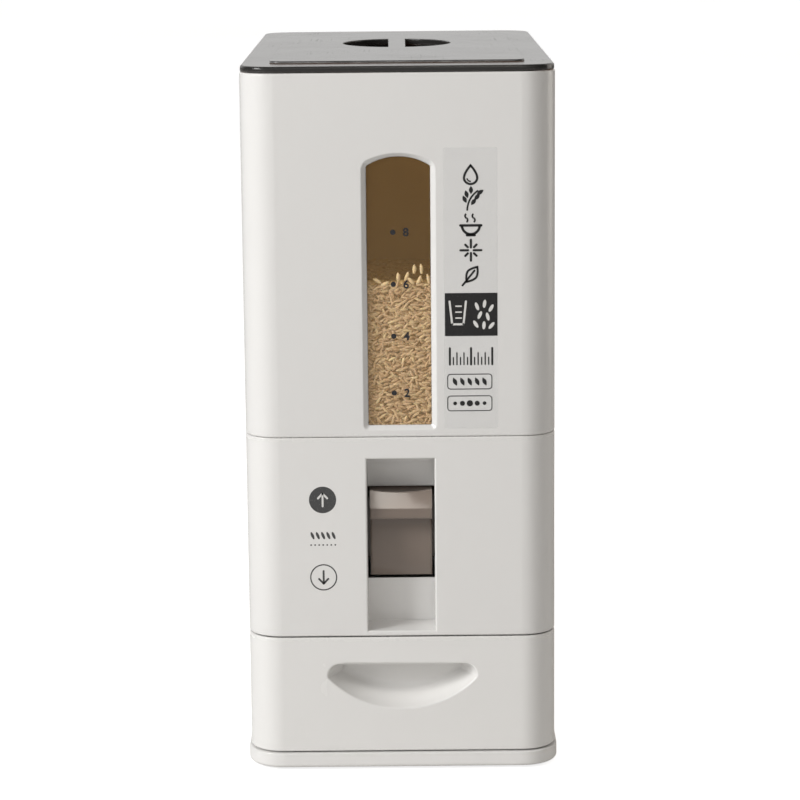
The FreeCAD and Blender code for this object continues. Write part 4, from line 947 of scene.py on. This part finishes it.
label_sheet = bmesh.new()
SIGNS = (sign_drop, sign_ear, sign_bowl, sign_star, sign_leaf)
SIGN_TOP, SIGN_PITCH = 0.3903, 0.0160
for place, draw in enumerate(SIGNS):
    draw(label_sheet, SIGN_X, SIGN_TOP - place * SIGN_PITCH)
stand_up(label_sheet, "label_signs", FRONT, ink_black, "hopper", layer=1)

# %% [markdown]
# ## Dark block, ruler and pills
# Under the signs come a dark block with a measuring cup and grains in white, a small ruler, and two
# outlined pills with simple marks in them.

# %% Lower part of the label
BLOCK_X, BLOCK_Z = 0.0457, 0.3012
BLOCK_HALF_X, BLOCK_HALF_Z = 0.0167, 0.0138
lower_sheet = bmesh.new()
block(lower_sheet, BLOCK_X, BLOCK_Z, BLOCK_HALF_X, BLOCK_HALF_Z, 0.0003)
RULER_LEFT, RULER_STEP, RULER_Z = 0.0320, 0.00225, 0.2690
for tick in range(13):
    tall, pen = (0.0105, 0.0013) if tick % 6 == 0 else (0.0075 if tick % 2 == 0 else 0.0045, 0.0008)
    x = RULER_LEFT + tick * RULER_STEP
    bar(lower_sheet, x, RULER_Z, x, RULER_Z + tall, pen)
PILL_X, PILL_HALF_X, PILL_HALF_Z = 0.0446, 0.0144, 0.0051
UPPER_PILL_Z, LOWER_PILL_Z, PILL_STEP = 0.2579, 0.2438, 0.0047
for shift in range(-2, 3):
    x = PILL_X + shift * PILL_STEP
    drop_shape(lower_sheet, x, UPPER_PILL_Z, 0.0013, 0.0029, 0.0029, 24)
    disc(lower_sheet, x, LOWER_PILL_Z, 0.0020 - 0.0004 * abs(shift))
stand_up(lower_sheet, "label_block", FRONT, ink_black, "hopper", layer=1)

pill_sheet = bmesh.new()
for pill_z in (UPPER_PILL_Z, LOWER_PILL_Z):
    outline(pill_sheet, block(pill_sheet, PILL_X, pill_z, PILL_HALF_X, PILL_HALF_Z, 0.0022), 0.0006)
stand_up(pill_sheet, "label_pills", FRONT, ink_grey, "hopper", layer=1)

white_sheet = bmesh.new()
cup_x, cup_z = BLOCK_X - 0.0085, BLOCK_Z + 0.0012
left_foot, right_foot = (-0.0036, -0.0074), (0.0036, -0.0074)
for start, end in (((-0.0052, 0.0072), left_foot), ((0.0052, 0.0072), right_foot), (left_foot, right_foot)):
    bar(white_sheet, cup_x + start[0], cup_z + start[1], cup_x + end[0], cup_z + end[1], 0.0013)
for mark in range(3):
    z = cup_z + 0.0042 - 0.0038 * mark
    bar(white_sheet, cup_x - 0.0012, z, cup_x + 0.0022, z, 0.0009)
grain_x = BLOCK_X + 0.0077
for dx, dz, turn in ((-0.0040, 0.0052, 20), (0.0008, 0.0068, -8), (0.0050, 0.0040, -30),
                     (-0.0022, -0.0004, -24), (0.0028, -0.0014, 14), (-0.0048, -0.0062, 32),
                     (0.0004, -0.0070, -4), (0.0052, -0.0072, -40)):
    disc(white_sheet, grain_x + dx, BLOCK_Z + dz, 0.0011, 0.0027, turn, 16)
stand_up(white_sheet, "label_white", FRONT, ink_white, "hopper", layer=2)

# %% [markdown]
# ## Marks beside the lever
# A filled disc stands beside the lever's upper place and a ring beside its lower place. An arrow in each
# says which way the rice goes: up for filling the measure, down for letting it out. Between them a
# row of grains stands for one measure.

# %% Marks on the housing
MARK_X, MARK_RADIUS = -0.0504, 0.00875
UPPER_MARK_Z, LOWER_MARK_Z, MEASURE_Z = 0.1814, 0.1301, 0.1578


def arrow(sheet, x, z, way, size):
    """An arrow that points up (1) or down (-1)."""
    bar(sheet, x, z - way * size, x, z + way * size, size * 0.3)
    for side in (-1, 1):
        bar(sheet, x, z + way * size, x + side * size * 0.7, z + way * size * 0.25, size * 0.3)


ARROW = 0.0042                          # half the length of an arrow
ring_sheet = bmesh.new()
disc(ring_sheet, MARK_X, UPPER_MARK_Z, MARK_RADIUS, segments=64)
outline(ring_sheet, disc(ring_sheet, MARK_X, LOWER_MARK_Z, MARK_RADIUS, segments=64), 0.0008)
arrow(ring_sheet, MARK_X, LOWER_MARK_Z, -1, ARROW)
for place in range(5):
    disc(ring_sheet, MARK_X + (place - 2) * 0.0034, MEASURE_Z, 0.0009, 0.0026, 22, 16)
for place in range(7):
    disc(ring_sheet, MARK_X + (place - 3) * 0.0026, MEASURE_Z - 0.0062, 0.00055, segments=12)
stand_up(ring_sheet, "housing_marks", FRONT, ink_grey, "stand")

arrow_sheet = bmesh.new()
arrow(arrow_sheet, MARK_X, UPPER_MARK_Z, 1, ARROW)
stand_up(arrow_sheet, "housing_arrow", FRONT, ink_white, "stand", layer=1)


# %% [markdown]
# ## Stage
# The bin stands on a plain pale floor, lit until it is nearly white in the picture. A little glow that only
# the eye sees does that, so the floor sends the bin no more light than a pale floor would, and a
# faint contact shadow is left.

# %% Floor
floor_pale, tree, shader = new_material("floor_pale")
cloud = noise_at(tree, object_point(tree), 0.8, 3.0)
fill(tree, shader, {"Base Color": (0.78, 0.77, 0.755, 1),
                    "Roughness": ramp(tree, cloud, 0.2, 0.8, 0.55, 0.7)})
glow = add_node(tree, "Emission", {"Color": (1, 1, 1, 1), "Strength": 0.80})
bright = add_node(tree, "AddShader", {0: shader.outputs[0], 1: glow.outputs[0]})
split_for_eye(tree, shader, bright, tree.nodes["Material Output"])

floor_mesh = bmesh.new()
bmesh.ops.create_grid(floor_mesh, x_segments=4, y_segments=4, size=30.0)
floor_data = bpy.data.meshes.new("floor")
floor_mesh.to_mesh(floor_data)
floor_mesh.free()
floor_data.materials.append(floor_pale)
floor = bpy.data.objects.new("floor", floor_data)
bpy.context.scene.collection.objects.link(floor)
print("floor ready")

# %% [markdown]
# ## Light
# One large soft lamp stands to the left, in front and a little above: it shapes the left corner and lets
# the right one fall into shade. A weaker one stands to the right, a little behind, and lifts the far edge
# again. A small one high in front is mirrored by the lever's hollow thumb tab. The room adds a soft light
# from the front and a bright wall behind the bin, which the glossy lid mirrors. The picture's background is
# plain white.

# %% Room and lamps
world = bpy.data.worlds.new("studio")
bpy.context.scene.world = world
world.use_nodes = True
sky = world.node_tree
sky.nodes.clear()
direction = add_node(sky, "TexCoord").outputs["Generated"]
split = add_node(sky, "SeparateXYZ", {0: direction})
in_front = ramp(sky, split.outputs[1], -0.9, -0.3, 0.54, 0.005)
behind = ramp(sky, split.outputs[1], 0.30, 0.90, 0.0, 0.77)
to_right = ramp(sky, split.outputs[0], 0.1, 0.9)
warm = blend_colours(sky, to_right, (1.0, 0.99, 0.975, 1), (1.0, 0.90, 0.80, 1))
room = add_node(sky, "Background", {"Color": warm, "Strength": calc(sky, "ADD", in_front, behind)})
plain = add_node(sky, "Background", {"Color": (1, 1, 1, 1), "Strength": 1.02})
split_for_eye(sky, room, plain, add_node(sky, "OutputWorld"))


def soft_lamp(name, place, aim, width, height, watts, colour):
    """Rectangular soft box aimed at a point."""
    lamp = bpy.data.lights.new(name, "AREA")
    lamp.shape = "RECTANGLE"
    lamp.size, lamp.size_y = width, height
    lamp.energy = watts
    lamp.color = colour
    holder = bpy.data.objects.new(name, lamp)
    bpy.context.scene.collection.objects.link(holder)
    way = Vector(aim) - Vector(place)
    holder.matrix_world = Matrix.Translation(place) @ way.to_track_quat("-Z", "Y").to_matrix().to_4x4()


MIDDLE = (0, -0.15, 0.24)
soft_lamp("key_lamp", (-2.04, -1.38, 1.51), MIDDLE, 1.1, 1.3, 58.5, (1.0, 0.995, 0.985))
soft_lamp("rim_lamp", (2.10, 0.83, 0.86), MIDDLE, 1.2, 1.9, 11.0, (1.0, 0.945, 0.875))
soft_lamp("top_lamp", (0.20, -1.38, 2.02), MIDDLE, 0.5, 0.32, 3.8, (1.0, 0.93, 0.85))
bpy.context.scene.view_settings.view_transform = "Standard"
print("room and lamps ready")

# %% [markdown]
# ## Camera
# The camera stands nearly two metres in front, at the height of a seated eye, and looks slightly down
# through a long lens, so that the bin's sides stay almost parallel.

# %% Camera
CAMERA_PLACE = (0.0, -1.9445, 0.5764)
CAMERA_PITCH = math.radians(90 - 10.69)
CAMERA_ROLL = math.radians(-0.526)
camera_data = bpy.data.cameras.new("camera")
camera_data.sensor_width = 36.0
camera_data.lens = 125.34
camera = bpy.data.objects.new("camera", camera_data)
bpy.context.scene.collection.objects.link(camera)
camera.matrix_world = (Matrix.Translation(CAMERA_PLACE) @ Matrix.Rotation(CAMERA_PITCH, 4, "X")
                       @ Matrix.Rotation(CAMERA_ROLL, 4, "Z"))
bpy.context.scene.camera = camera
print("camera at", CAMERA_PLACE)
